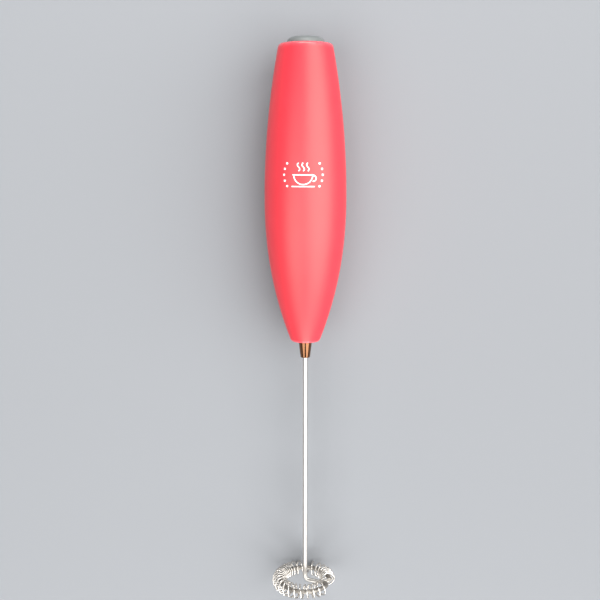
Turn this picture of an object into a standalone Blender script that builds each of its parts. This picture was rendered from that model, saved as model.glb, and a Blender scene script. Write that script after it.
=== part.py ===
"""Hand-held battery milk frother: a barrel handle with a push button, and a ring whisk on a rod.

The wand lies along Y with the button towards +Y, the whisk towards -Y and the battery cover on
top. Every piece hangs on an empty that stands on the handle's axis. In that empty's frame x is
across, y is up through the cover, and z is the station: the distance from the handle's button
end towards the whisk.
"""
import math

import bmesh
import bpy
from mathutils import Vector

MM = 0.001

# ---------------------------------------------------------------- clearances
GAP = 0.3 * MM                      # between pieces that rest on each other
RUN_GAP = 0.35 * MM                 # round what turns or slides
EMBED = 0.4 * MM                    # how far joined shapes reach into each other
OVERRUN = 2.0 * MM                  # how far a cutter passes the faces it cuts

# ---------------------------------------------------------------- battery bay
CELL_RADIUS = 7.1 * MM
CELL_LENGTH = 50.5 * MM
CELL_EDGE = 0.6 * MM
NUB_RADIUS = 2.75 * MM
NUB_HEIGHT = 1.3 * MM
CELL_START = 35.6 * MM
CELL_PITCH = 2 * CELL_RADIUS + GAP
CELL_END = CELL_START + CELL_LENGTH
CELL_SIDE_GAP = 0.386 * MM          # between the cells' ends and the shell beside them

# ---------------------------------------------------------------- handle shells
WALL = 1.5 * MM
END_WALL = 1.8 * MM
HANDLE_LENGTH = 126.0 * MM
BELLY_STATION = 64.7 * MM
TOP_RADIUS = 11.25 * MM
NOSE_RADIUS = 6.3 * MM
TOP_POWER = 2.0                     # how fast the outline narrows towards the button
NOSE_POWER = 2.1                    # how fast it narrows towards the nose
TOP_EDGE = 1.5 * MM
NOSE_EDGE = 0.8 * MM
RIB_STATIONS = (46.0 * MM, 76.0 * MM)
RIB_THICKNESS = 1.2 * MM
RIB_BOTTOM = 10.4 * MM
RIB_HALF_WIDTH = 9.0 * MM


def belly_radius():
    """The smallest belly whose shell still clears the corners of both cells' ends."""
    needed = CELL_PITCH / 2 + CELL_RADIUS + CELL_SIDE_GAP + WALL
    top = ((BELLY_STATION - CELL_START) / BELLY_STATION) ** TOP_POWER
    nose = ((CELL_END - BELLY_STATION) / (HANDLE_LENGTH - BELLY_STATION)) ** NOSE_POWER
    return max((needed - TOP_RADIUS * top) / (1 - top), (needed - NOSE_RADIUS * nose) / (1 - nose))


HANDLE_RADIUS = belly_radius()

# ---------------------------------------------------------------- button and switch
BUTTON_RADIUS = 8.15 * MM
BUTTON_FACE_RADIUS = 5.5 * MM
BUTTON_RISE = 2.6 * MM
BUTTON_SHOULDER_POWER = 1.6
BUTTON_TRAVEL = 1.8 * MM
BUTTON_SKIRT = 6.0 * MM
BUTTON_WALL = 1.3 * MM
BUTTON_ROOF = 1.6 * MM
FLANGE_WIDTH = 1.15 * MM
FLANGE_THICKNESS = 1.2 * MM
BUTTON_STEM_RADIUS = 1.8 * MM
BUTTON_STEM_END = 4.6 * MM
PLUNGER_CAP_RADIUS = 3.4 * MM
PLUNGER_CAP_THICKNESS = 1.2 * MM
PLUNGER_RADIUS = 1.6 * MM
SWITCH_START = 12.0 * MM
SWITCH_LENGTH = 10.0 * MM
SWITCH_HALF_WIDTH = 4.2 * MM
PLUNGER_DEPTH = 2.0 * MM            # how far the plunger stands in the switch at rest
SWITCH_SPRING_RADIUS = 2.75 * MM
SWITCH_SPRING_WIRE = 0.4 * MM
SWITCH_SPRING_TURNS = 4.5
TERMINAL_LENGTH = 4.2 * MM
TERMINAL_WIDTH = 1.6 * MM
TERMINAL_THICKNESS = 0.4 * MM
TERMINAL_OFFSET = 2.4 * MM

# ---------------------------------------------------------------- contacts
CONTACT_THICKNESS = 0.4 * MM
CONTACT_SIZE = 9.6 * MM
CONTACT_SPACE = 2.2 * MM            # height of a contact spring or dome
CONTACT_DOME_RADIUS = 2.4 * MM
CONTACT_SPRING_WIDE = 4.0 * MM
CONTACT_SPRING_NARROW = 2.2 * MM
CONTACT_SPRING_WIRE = 0.6 * MM
CONTACT_SPRING_TURNS = 2.75
TAB_WIDTH = 3.2 * MM
TAB_HEIGHT = 5.3 * MM               # of the tab's middle over the handle's axis
TAB_LENGTH = 3.4 * MM

# ---------------------------------------------------------------- chassis
PLATE = 1.5 * MM                    # bulkheads and floors
FLOOR_TOP = CELL_RADIUS + GAP
BULKHEAD_TOP = 4.4 * MM
KEEL_DEPTH = 3.4 * MM
KEEL_HALF_WIDTH = 0.8 * MM
SWITCH_CHEEK = 1.3 * MM
SWITCH_CHEEK_START = 14.0 * MM
SWITCH_CHEEK_TOP = 2.0 * MM
CRADLE_CHEEK_TOP = 3.0 * MM
NOSE_TUBE_WALL = 1.5 * MM
LEAD_HOLE_RADIUS = 1.1 * MM
SCREW_STATION = 27.4 * MM
SCREW_OFFSET = 6.8 * MM
SCREW_RADIUS = 1.1 * MM
SCREW_HEAD_RADIUS = 2.0 * MM
SCREW_HEAD_HEIGHT = 1.5 * MM
SCREW_LENGTH = 4.0 * MM
SCREW_SLOT = 0.6 * MM
POST_RADIUS = 2.2 * MM

# ---------------------------------------------------------------- motor
MOTOR_RADIUS = 7.75 * MM
MOTOR_FLAT = 6.0 * MM               # half the distance across the flats
MOTOR_LENGTH = 20.0 * MM
MOTOR_CAN_WALL = 0.8 * MM
MOTOR_CAP_THICKNESS = 1.6 * MM
MOTOR_BOSS_RADIUS = 3.0 * MM
MOTOR_BOSS_HEIGHT = 1.2 * MM
MOTOR_SPACE = 2.8 * MM              # from the bulkhead to the motor, for its terminals
BUSH_RADIUS = 2.0 * MM
SHAFT_RADIUS = 0.75 * MM
MAGNET_THICKNESS = 1.3 * MM
MAGNET_LENGTH = 10.4 * MM
MAGNET_HALF_ANGLE = math.radians(46)
ROTOR_RADIUS = 4.9 * MM
ROTOR_LENGTH = 8.0 * MM
ROTOR_SHOE = 0.8 * MM
ROTOR_HUB_RADIUS = 1.7 * MM
ROTOR_NECK_HALF_WIDTH = 0.8 * MM
ROTOR_SHOE_HALF_ANGLE = math.radians(50)
POLES = 3
WINDING_BUILD = 0.7 * MM            # how thick the wire lies round a pole's neck
COMMUTATOR_RADIUS = 1.9 * MM
COMMUTATOR_LENGTH = 1.8 * MM
BRUSH_THICKNESS = 0.4 * MM
BRUSH_LONG = 4.5 * MM
BRUSH_SHORT = 1.5 * MM
MOTOR_TERMINAL_OFFSET = 4.5 * MM
MOTOR_TERMINAL_DROP = 3.3 * MM
MOTOR_TERMINAL_LENGTH = 1.7 * MM

# ---------------------------------------------------------------- shaft line
NOSE_TUBE_BORE = 3.3 * MM
COUPLER_RADIUS = 2.4 * MM
SHAFT_GRIP = 2.8 * MM               # how much of the motor shaft stands in the coupler
SEAL_THICKNESS = 0.8 * MM
CONE_TIP_RADIUS = 2.1 * MM
CONE_LENGTH = 7.7 * MM
CONE_SPIGOT = 3.4 * MM              # how far the cone reaches into the nose

# ---------------------------------------------------------------- whisk
ROD_RADIUS = 1.0 * MM
ROD_LENGTH = 114.5 * MM             # from the handle's nose to the middle of the ring
ROD_BEND = 2.2 * MM
RING_RADIUS = 11.25 * MM
RING_BEND = 2.4 * MM
RING_OPENING = math.radians(16)     # between the ring's free end and the arm
ARM_ANGLE = math.radians(15)        # of the arm over the horizontal
COIL_RADIUS = 3.4 * MM              # outside of the wire
COIL_WIRE = 0.75 * MM
COIL_TURNS = 28
COIL_START = math.radians(20)       # from the arm, round the ring
COIL_END = math.radians(345)

# ---------------------------------------------------------------- wiring
LEAD_RADIUS = 0.6 * MM
LEAD_SPACING = 2.4 * MM             # between the points of a lead's route
LEAD_TRACK = 3.2 * MM               # how far a lead runs beside the keel
LEAD_DEPTH = 1.7 * MM               # of a lead's middle under the tray
LEAD_SWEEP = 3.5 * MM               # how far a lead runs while it turns
LEAD_HOLE_OFFSET = 2.6 * MM
LEAD_HOLE_STATION = 28.6 * MM

# ---------------------------------------------------------------- fineness
SHELL_STEPS = 40
FINE_STEPS = 24
SMALL_STEPS = 16
OUTLINE_STEPS = 12
EDGE_STEPS = 3
MAGNET_STEPS = 8
COIL_STEPS = 10
SPRING_STEPS = 8
RING_STEPS = 44

# ---------------------------------------------------------------- places that follow
TOTAL_LENGTH = BUTTON_RISE + HANDLE_LENGTH + ROD_LENGTH + COIL_RADIUS
RING_STATION = HANDLE_LENGTH + ROD_LENGTH
FLOOR_BOTTOM = FLOOR_TOP + PLATE
CONTACT_TOP_START = CELL_START - GAP - CONTACT_SPACE - GAP - CONTACT_THICKNESS
TOP_BULKHEAD_END = CONTACT_TOP_START - GAP
TOP_BULKHEAD_START = TOP_BULKHEAD_END - PLATE
CONTACT_BOTTOM_START = CELL_END + GAP + CONTACT_SPACE + GAP
BOTTOM_BULKHEAD_START = CONTACT_BOTTOM_START + CONTACT_THICKNESS + GAP
BOTTOM_BULKHEAD_END = BOTTOM_BULKHEAD_START + PLATE
SWITCH_END = SWITCH_START + SWITCH_LENGTH
SWITCH_PLATE_START = SWITCH_END + GAP
SWITCH_PLATE_END = SWITCH_PLATE_START + PLATE
CONE_START = HANDLE_LENGTH - CONE_SPIGOT
SEAL_START = CONE_START - GAP - SEAL_THICKNESS
MOTOR_START = BOTTOM_BULKHEAD_END + MOTOR_SPACE
MOTOR_END = MOTOR_START + MOTOR_LENGTH
COUPLER_START = MOTOR_END + MOTOR_BOSS_HEIGHT + GAP
COUPLER_END = SEAL_START - GAP
CAN_START = MOTOR_START + MOTOR_CAP_THICKNESS + GAP
COMMUTATOR_START = CAN_START + 2 * GAP
WINDING_START = COMMUTATOR_START + COMMUTATOR_LENGTH + GAP
ROTOR_START = WINDING_START + GAP + WINDING_BUILD
SHAFT_END = COUPLER_START + SHAFT_GRIP
ROD_START = SHAFT_END + GAP
NOSE_TUBE_START = MOTOR_END + GAP
NOSE_TUBE_END = HANDLE_LENGTH - END_WALL - GAP


# ================================================================ scene set-up
for leftover in list(bpy.data.objects):
    bpy.data.objects.remove(leftover, do_unlink=True)

PARTS = bpy.data.collections.new("milk_frother")
CUTTERS = bpy.data.collections.new("cutters")
for collection in (PARTS, CUTTERS):
    bpy.context.scene.collection.children.link(collection)


def axis_empty(name):
    """An empty on the handle's axis at its button end, with its z along the wand to the whisk."""
    empty = bpy.data.objects.new(name, None)
    empty.empty_display_size = 10 * MM
    empty.location = (0, TOTAL_LENGTH / 2 - BUTTON_RISE, HANDLE_RADIUS)
    empty.rotation_euler = (math.radians(90), 0, 0)
    PARTS.objects.link(empty)
    return empty


HANDLE_AXIS = axis_empty("handle_axis")
COVER_AXIS = axis_empty("cover_axis")
BUTTON_AXIS = axis_empty("button_axis")
WHISK_AXIS = axis_empty("whisk_axis")


def finish(name, colour, roughness, metallic=0.0):
    """A Principled material in a plain colour."""
    material = bpy.data.materials.new(name)
    material.use_nodes = True
    shader = material.node_tree.nodes["Principled BSDF"]
    shader.inputs["Base Color"].default_value = (*colour, 1.0)
    shader.inputs["Roughness"].default_value = roughness
    shader.inputs["Metallic"].default_value = metallic
    material.diffuse_color = (*colour, 1.0)
    return material


RED = finish("red_soft_touch", (0.80, 0.035, 0.075), 0.45)
GREY = finish("grey_abs", (0.16, 0.16, 0.17), 0.5)
BLACK = finish("black_nylon", (0.02, 0.02, 0.02), 0.5)
WHITE = finish("white_abs", (0.75, 0.75, 0.72), 0.5)
CHROME = finish("plated_chrome", (0.75, 0.70, 0.66), 0.1, 1.0)
STEEL = finish("stainless_steel", (0.62, 0.61, 0.59), 0.3, 1.0)
ZINC = finish("zinc_plate", (0.55, 0.56, 0.58), 0.35, 1.0)
BRASS = finish("brass", (0.75, 0.55, 0.22), 0.3, 1.0)
COPPER = finish("enamelled_copper", (0.72, 0.28, 0.12), 0.35, 1.0)
FERRITE = finish("ferrite", (0.06, 0.06, 0.065), 0.7)
CELL_LABEL = finish("battery_sleeve", (0.05, 0.12, 0.30), 0.35)
RED_PVC = finish("red_pvc", (0.65, 0.03, 0.03), 0.5)
BLACK_PVC = finish("black_pvc", (0.02, 0.02, 0.02), 0.5)
RUBBER = finish("silicone_rubber", (0.30, 0.30, 0.30), 0.7)


# ================================================================ making shapes
def add(name, data, surface, parent, cutter=False):
    """Put a mesh or curve in the scene, as a part of the wand or as a cutter."""
    made = bpy.data.objects.new(name, data)
    made.parent = parent
    if cutter:
        CUTTERS.objects.link(made)
        made.hide_render = True
        made.display_type = "WIRE"
    else:
        PARTS.objects.link(made)
        data.materials.append(surface)
    return made


def settle(made, sharp_angle=math.radians(35)):
    """Turn an object's curve or modifiers into a closed, smooth-shaded mesh of its own."""
    bpy.context.view_layer.update()
    evaluated = made.evaluated_get(bpy.context.evaluated_depsgraph_get())
    mesh = bpy.data.meshes.new_from_object(evaluated)
    form = bmesh.new()
    form.from_mesh(mesh)
    bmesh.ops.remove_doubles(form, verts=form.verts, dist=0.001 * MM)
    form.to_mesh(mesh)
    form.free()
    mesh.shade_smooth()
    mesh.set_sharp_from_angle(angle=sharp_angle)
    settled = bpy.data.objects.new("settled", mesh)
    for collection in list(made.users_collection):
        collection.objects.link(settled)
    settled.parent = made.parent
    settled.location = made.location
    settled.hide_render = made.hide_render
    settled.display_type = made.display_type
    name = made.name
    bpy.data.objects.remove(made)
    settled.name = name
    mesh.name = name
    return settled


def turned(name, profile, surface=None, parent=None, steps=SMALL_STEPS, across=0.0, cutter=False):
    """A solid turned about the axis from (radius, station) points, shifted across by its location."""
    doubled_area = 0.0
    for (r0, z0), (r1, z1) in zip(profile, profile[1:] + profile[:1]):
        doubled_area += r0 * z1 - r1 * z0
    if doubled_area > 0:
        profile = profile[::-1]
    on_axis = [index for index, point in enumerate(profile) if point[0] == 0]
    if on_axis:
        turn = next(i for i in on_axis if profile[i - 1][0] == 0)
        profile = profile[turn:] + profile[:turn]
    mesh = bpy.data.meshes.new(name)
    edges = [(i, i + 1) for i in range(len(profile) - 1)]
    if not on_axis:
        edges.append((len(profile) - 1, 0))
    mesh.from_pydata([(radius, 0, station) for radius, station in profile], edges, [])
    made = add(name, mesh, surface, parent or HANDLE_AXIS, cutter)
    made.location = (across, 0, 0)
    screw = made.modifiers.new("turn", "SCREW")
    screw.steps = steps
    screw.render_steps = steps
    screw.use_merge_vertices = True
    screw.merge_threshold = 0.001 * MM
    return settle(made)


def tube_profile(bore, radius, start, end):
    """The section of a plain ring or, with no bore, of a plain disc."""
    return [(radius, end), (radius, start), (bore, start), (bore, end)]


def block(name, low, high, surface=None, parent=None, cutter=False):
    """A box between two corners."""
    form = bmesh.new()
    bmesh.ops.create_cube(form, size=1.0)
    size = [b - a for a, b in zip(low, high)]
    bmesh.ops.scale(form, vec=size, verts=form.verts)
    mesh = bpy.data.meshes.new(name)
    form.to_mesh(mesh)
    form.free()
    made = add(name, mesh, surface, parent or HANDLE_AXIS, cutter)
    made.location = [(a + b) / 2 for a, b in zip(low, high)]
    return made


def plate(name, outlines, start, end, surface=None, parent=None, cutter=False):
    """A flat piece across the axis, from its outline and any holes, between two stations."""
    curve = bpy.data.curves.new(name, "CURVE")
    curve.dimensions = "2D"
    curve.fill_mode = "BOTH"
    curve.extrude = (end - start) / 2
    for outline in outlines:
        spline = curve.splines.new("POLY")
        spline.points.add(len(outline) - 1)
        for point, (x, y) in zip(spline.points, outline):
            point.co = (x, y, 0, 1)
        spline.use_cyclic_u = True
    made = add(name, curve, surface, parent or HANDLE_AXIS, cutter)
    made.location = (0, 0, (start + end) / 2)
    return settle(made)


def wire(name, points, radius, surface, parent=None, resolution=2):
    """A round wire along a route, with closed ends."""
    curve = bpy.data.curves.new(name, "CURVE")
    curve.dimensions = "3D"
    curve.bevel_depth = radius
    curve.bevel_resolution = resolution
    curve.use_fill_caps = True
    spline = curve.splines.new("POLY")
    spline.points.add(len(points) - 1)
    for point, place in zip(spline.points, points):
        point.co = (*place, 1)
    return settle(add(name, curve, surface, parent or HANDLE_AXIS), math.radians(60))


def boolean(target, operation, tools):
    """Cut a piece with other shapes, or join them to it."""
    for tool in tools:
        step = target.modifiers.new(tool.name, "BOOLEAN")
        step.operation = operation
        step.solver = "EXACT"
        step.object = tool
    return target


def pin_hole(name, x, station, radius, top, bottom):
    """An upright round cutter at one place on the axis frame's x and station."""
    form = bmesh.new()
    bmesh.ops.create_cone(
        form, cap_ends=True, segments=SMALL_STEPS, radius1=radius, radius2=radius, depth=top - bottom)
    mesh = bpy.data.meshes.new(name)
    form.to_mesh(mesh)
    form.free()
    made = add(name, mesh, None, HANDLE_AXIS, cutter=True)
    made.location = (x, (top + bottom) / 2, station)
    made.rotation_euler = (math.radians(90), 0, 0)
    return made


def arc(centre, radius, start, end, steps):
    """Points on a flat arc, both ends included."""
    turn = (end - start) / steps
    angles = [start + turn * step for step in range(steps + 1)]
    return [(centre[0] + radius * math.cos(a), centre[1] + radius * math.sin(a)) for a in angles]


def around(radius, angle):
    """One flat point at a radius and an angle."""
    return (radius * math.cos(angle), radius * math.sin(angle))


# ================================================================ handle form
def handle_radius(station):
    """The handle's outer radius, widest at the belly and curving in to both ends."""
    if station < BELLY_STATION:
        share = (BELLY_STATION - station) / BELLY_STATION
        return HANDLE_RADIUS - (HANDLE_RADIUS - TOP_RADIUS) * share ** TOP_POWER
    share = (station - BELLY_STATION) / (HANDLE_LENGTH - BELLY_STATION)
    return HANDLE_RADIUS - (HANDLE_RADIUS - NOSE_RADIUS) * share ** NOSE_POWER


def outline(inset, start, end, steps=OUTLINE_STEPS):
    """Points along the handle's form, set in by a wall, between two stations."""
    stations = [start + (end - start) * step / steps for step in range(steps + 1)]
    return [(handle_radius(station) - inset, station) for station in stations]


def rounded_end(station, edge, direction):
    """The fillet between the handle's side and its flat end face at a station."""
    inner = station - direction * edge
    slope = math.atan2(abs(handle_radius(station) - handle_radius(inner)), edge)
    meet = inner + direction * edge * math.sin(slope)
    centre = handle_radius(meet) - edge * math.cos(slope)
    angles = [slope + (math.pi / 2 - slope) * step / EDGE_STEPS for step in range(EDGE_STEPS + 1)]
    return [(centre + edge * math.cos(a), inner + direction * edge * math.sin(a)) for a in angles]


def solid_form(name, inset, start, end, steps=SHELL_STEPS):
    """The handle's inside as a solid, for trimming what must follow the shell."""
    profile = outline(inset, start, end) + [(0, end), (0, start)]
    return turned(name, profile, steps=steps, cutter=True)


def half_shell(name, side, parent):
    """One half of the handle's casing; side is +1 for the cover and -1 for the rear shell."""
    top_fillet = rounded_end(0, TOP_EDGE, -1)
    nose_fillet = rounded_end(HANDLE_LENGTH, NOSE_EDGE, 1)
    outside = outline(0, top_fillet[0][1], nose_fillet[0][1])[1:-1]
    inside = outline(WALL, END_WALL, HANDLE_LENGTH - END_WALL)
    button_hole = BUTTON_RADIUS + RUN_GAP
    nose_hole = NOSE_TUBE_BORE + GAP
    profile = [(button_hole, 0)] + top_fillet[::-1] + outside + nose_fillet
    profile += [(nose_hole, HANDLE_LENGTH), (nose_hole, HANDLE_LENGTH - END_WALL)]
    profile += inside[::-1] + [(button_hole, END_WALL)]
    shell = turned(name, profile, RED, parent, SHELL_STEPS)
    reach = HANDLE_RADIUS + OVERRUN
    seam = side * GAP / 2
    low = (-reach, min(seam, -side * reach), -OVERRUN)
    high = (reach, max(seam, -side * reach), HANDLE_LENGTH + OVERRUN)
    return boolean(shell, "DIFFERENCE", [block(name + "_other_side", low, high, cutter=True)])


def battery_cover():
    """The lift-off half, stiffened by cross ribs over the cells."""
    cover = half_shell("battery_cover", 1, COVER_AXIS)
    within = solid_form("within_cover_wall", WALL / 2, END_WALL, HANDLE_LENGTH - END_WALL)
    for number, station in enumerate(RIB_STATIONS, 1):
        low = (-RIB_HALF_WIDTH, RIB_BOTTOM, station)
        high = (RIB_HALF_WIDTH, HANDLE_RADIUS, station + RIB_THICKNESS)
        rib = block(f"cover_rib_{number}", low, high, cutter=True)
        boolean(rib, "INTERSECT", [within])
        boolean(cover, "UNION", [rib])
    return cover


def rear_shell():
    """The fixed half, with two posts that take the chassis screws."""
    shell = half_shell("rear_shell", -1, HANDLE_AXIS)
    within = solid_form("within_shell_wall", WALL / 2, END_WALL, HANDLE_LENGTH - END_WALL)
    top = -(FLOOR_BOTTOM + GAP)
    hole_end = -(FLOOR_BOTTOM + SCREW_LENGTH)
    for label, x in (("left", -SCREW_OFFSET), ("right", SCREW_OFFSET)):
        post = pin_hole(f"post_{label}", x, SCREW_STATION, POST_RADIUS, top, -HANDLE_RADIUS)
        boolean(post, "INTERSECT", [within])
        boolean(shell, "UNION", [post])
    for label, x in (("left", -SCREW_OFFSET), ("right", SCREW_OFFSET)):
        hole = pin_hole(f"post_hole_{label}", x, SCREW_STATION, SCREW_RADIUS + GAP, top + OVERRUN, hole_end)
        boolean(shell, "DIFFERENCE", [hole])
    return shell


# ================================================================ chassis
def chassis():
    """The moulded inner frame, trimmed to follow the shell and bored for what it holds."""
    reach = HANDLE_RADIUS
    cheek = SWITCH_HALF_WIDTH + GAP
    cradle = MOTOR_FLAT + GAP
    side = MOTOR_RADIUS + GAP
    sunk = -FLOOR_BOTTOM + EMBED
    floor = block(
        "chassis", (-reach, -FLOOR_BOTTOM, SWITCH_CHEEK_START),
        (reach, -FLOOR_TOP, BOTTOM_BULKHEAD_END), WHITE)
    joined = [
        block("keel", (-KEEL_HALF_WIDTH, -FLOOR_BOTTOM - KEEL_DEPTH, TOP_BULKHEAD_START),
              (KEEL_HALF_WIDTH, sunk + EMBED, BOTTOM_BULKHEAD_END - EMBED), cutter=True),
        block("top_bulkhead", (-reach, sunk, TOP_BULKHEAD_START),
              (reach, BULKHEAD_TOP, TOP_BULKHEAD_END), cutter=True),
        block("bottom_bulkhead", (-reach, sunk, BOTTOM_BULKHEAD_START),
              (reach, BULKHEAD_TOP, BOTTOM_BULKHEAD_END - EMBED / 2), cutter=True),
        block("switch_plate", (-reach, sunk, SWITCH_PLATE_START),
              (reach, SWITCH_CHEEK_TOP + PLATE, SWITCH_PLATE_END), cutter=True),
        block("cradle_floor", (-reach, -cradle - PLATE, BOTTOM_BULKHEAD_END - PLATE),
              (reach, -cradle, NOSE_TUBE_START + PLATE - EMBED), cutter=True)]
    for label, sign in (("left", -1), ("right", 1)):
        switch_side = sorted((sign * cheek, sign * (cheek + SWITCH_CHEEK)))
        joined.append(block(
            f"switch_cheek_{label}", (switch_side[0], sunk + EMBED, SWITCH_CHEEK_START + EMBED),
            (switch_side[1], SWITCH_CHEEK_TOP, SWITCH_PLATE_START + EMBED), cutter=True))
        motor_side = sorted((sign * side, sign * reach))
        joined.append(block(
            f"cradle_cheek_{label}", (motor_side[0], -cradle - EMBED, BOTTOM_BULKHEAD_END - 2 * EMBED),
            (motor_side[1], CRADLE_CHEEK_TOP, NOSE_TUBE_START + EMBED), cutter=True))
    boolean(floor, "UNION", joined)

    tube_radius = NOSE_TUBE_BORE + NOSE_TUBE_WALL
    flange = handle_radius(NOSE_TUBE_START)
    nose = turned("nose_tube", [
        (flange, NOSE_TUBE_START), (flange, NOSE_TUBE_START + PLATE),
        (tube_radius, NOSE_TUBE_START + PLATE), (tube_radius, NOSE_TUBE_END),
        (NOSE_TUBE_BORE, NOSE_TUBE_END), (NOSE_TUBE_BORE, NOSE_TUBE_START)],
        steps=FINE_STEPS, cutter=True)
    boolean(floor, "UNION", [nose])
    within = solid_form("within_shell", WALL + RUN_GAP, SWITCH_CHEEK_START - OVERRUN, NOSE_TUBE_END + OVERRUN)
    boolean(floor, "INTERSECT", [within])

    slot = TERMINAL_OFFSET + TERMINAL_THICKNESS / 2 + GAP
    half_slot = TERMINAL_WIDTH / 2 + GAP
    holes = [block(
        "terminal_slot", (-half_slot, -slot, SWITCH_PLATE_START - OVERRUN),
        (half_slot, slot, SWITCH_PLATE_END + OVERRUN), cutter=True)]
    for label, sign in (("left", -1), ("right", 1)):
        top = -FLOOR_TOP + OVERRUN
        bottom = -FLOOR_BOTTOM - OVERRUN
        holes.append(pin_hole(
            f"lead_hole_{label}", sign * LEAD_HOLE_OFFSET, LEAD_HOLE_STATION, LEAD_HOLE_RADIUS, top, bottom))
        holes.append(pin_hole(
            f"screw_hole_{label}", sign * SCREW_OFFSET, SCREW_STATION, SCREW_RADIUS + GAP, top, bottom))
        notch = sorted((sign * (MOTOR_TERMINAL_OFFSET - LEAD_HOLE_RADIUS - GAP),
                        sign * (MOTOR_TERMINAL_OFFSET + LEAD_HOLE_RADIUS + GAP)))
        holes.append(block(
            f"lead_notch_{label}", (notch[0], bottom, BOTTOM_BULKHEAD_END + GAP),
            (notch[1], -cradle + OVERRUN, MOTOR_START), cutter=True))
    return boolean(floor, "DIFFERENCE", holes)


def chassis_screw(label, x):
    """A self-tapping screw with a slotted head, standing on the chassis floor."""
    head_start = FLOOR_TOP - GAP
    tip = FLOOR_TOP + SCREW_LENGTH
    form = turned("chassis_screw_" + label, [
        (0, -head_start + SCREW_HEAD_HEIGHT), (SCREW_HEAD_RADIUS * 0.7, -head_start + SCREW_HEAD_HEIGHT),
        (SCREW_HEAD_RADIUS, -head_start + SCREW_HEAD_HEIGHT / 2), (SCREW_HEAD_RADIUS, -head_start),
        (SCREW_RADIUS, -head_start), (SCREW_RADIUS, -tip + SCREW_RADIUS), (0, -tip)], ZINC)
    form.rotation_euler = (math.radians(-90), 0, 0)
    form.location = (x, 0, SCREW_STATION)
    slot_bottom = -head_start + SCREW_HEAD_HEIGHT - SCREW_SLOT
    slot = block(
        f"screw_slot_{label}", (x - SCREW_SLOT / 2, slot_bottom, SCREW_STATION - SCREW_HEAD_RADIUS - OVERRUN),
        (x + SCREW_SLOT / 2, slot_bottom + OVERRUN, SCREW_STATION + SCREW_HEAD_RADIUS + OVERRUN),
        cutter=True)
    return boolean(form, "DIFFERENCE", [slot])


# ================================================================ button and switch
def power_button():
    """The push button: a domed cap with a retaining flange, and a stem that works the switch."""
    shoulder = []
    for step in range(EDGE_STEPS + 2):
        share = step / (EDGE_STEPS + 1)
        height = (1 - share ** BUTTON_SHOULDER_POWER) ** (1 / BUTTON_SHOULDER_POWER)
        radius = BUTTON_FACE_RADIUS + (BUTTON_RADIUS - BUTTON_FACE_RADIUS) * share
        shoulder.append((radius, -BUTTON_RISE * height))
    flange_start = END_WALL + GAP
    flange_end = flange_start + FLANGE_THICKNESS
    flange = BUTTON_RADIUS + FLANGE_WIDTH
    hollow = BUTTON_RADIUS - BUTTON_WALL
    roof = BUTTON_ROOF - BUTTON_RISE
    return turned("power_button", [(0, -BUTTON_RISE)] + shoulder + [
        (BUTTON_RADIUS, flange_start), (flange, flange_start), (flange, flange_end),
        (BUTTON_RADIUS, flange_end), (BUTTON_RADIUS, BUTTON_SKIRT), (hollow, BUTTON_SKIRT),
        (hollow, roof), (BUTTON_STEM_RADIUS, roof), (BUTTON_STEM_RADIUS, BUTTON_STEM_END),
        (0, BUTTON_STEM_END)], GREY, BUTTON_AXIS, FINE_STEPS)


def switch():
    """The push switch: body, plunger, its spring and two solder terminals."""
    cap_start = BUTTON_STEM_END + GAP
    cap_end = cap_start + PLUNGER_CAP_THICKNESS
    rest_end = SWITCH_START + PLUNGER_DEPTH
    turned("switch_plunger", [
        (0, cap_start), (PLUNGER_CAP_RADIUS, cap_start), (PLUNGER_CAP_RADIUS, cap_end),
        (PLUNGER_RADIUS, cap_end), (PLUNGER_RADIUS, rest_end), (0, rest_end)], WHITE, BUTTON_AXIS)
    half = SWITCH_HALF_WIDTH
    body = block("switch_body", (-half, -half, SWITCH_START), (half, half, SWITCH_END), BLACK)
    well_end = rest_end + BUTTON_TRAVEL + GAP
    well = turned("plunger_well", tube_profile(
        0, PLUNGER_RADIUS + RUN_GAP, SWITCH_START - OVERRUN, well_end), cutter=True)
    boolean(body, "DIFFERENCE", [well])
    middle = SWITCH_SPRING_WIRE / 2
    spring_start = cap_end + GAP + middle
    spring_end = SWITCH_START - GAP - middle
    wire("switch_spring", helix(
        SWITCH_SPRING_RADIUS, SWITCH_SPRING_RADIUS, spring_start, spring_end, SWITCH_SPRING_TURNS),
        middle, STEEL)
    for label, sign in (("upper", 1), ("lower", -1)):
        y = sign * TERMINAL_OFFSET
        block(f"switch_terminal_{label}",
              (-TERMINAL_WIDTH / 2, y - TERMINAL_THICKNESS / 2, SWITCH_END + GAP),
              (TERMINAL_WIDTH / 2, y + TERMINAL_THICKNESS / 2, SWITCH_END + GAP + TERMINAL_LENGTH), BRASS)


def helix(start_radius, end_radius, start, end, turns, steps=SPRING_STEPS):
    """Points of a coil round the axis that may narrow from one end to the other."""
    points = []
    count = round(turns * steps)
    for step in range(count + 1):
        share = step / count
        angle = 2 * math.pi * turns * share
        radius = start_radius + (end_radius - start_radius) * share
        points.append(Vector((
            radius * math.cos(angle), radius * math.sin(angle), start + (end - start) * share)))
    return points


# ================================================================ batteries and contacts
def battery(name, x, nub_first):
    """One AA cell; its raised end faces the button or the motor."""
    length = CELL_LENGTH - NUB_HEIGHT
    profile = [(0, 0), (NUB_RADIUS, 0), (NUB_RADIUS, NUB_HEIGHT)]
    profile += [(CELL_RADIUS - CELL_EDGE, NUB_HEIGHT), (CELL_RADIUS, NUB_HEIGHT + CELL_EDGE)]
    profile += [(CELL_RADIUS, NUB_HEIGHT + length - CELL_EDGE), (CELL_RADIUS - CELL_EDGE, CELL_LENGTH)]
    profile += [(0, CELL_LENGTH)]
    placed = [(radius, CELL_START + z if nub_first else CELL_END - z) for radius, z in profile]
    return turned(name, placed, CELL_LABEL, steps=FINE_STEPS, across=x)


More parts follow.
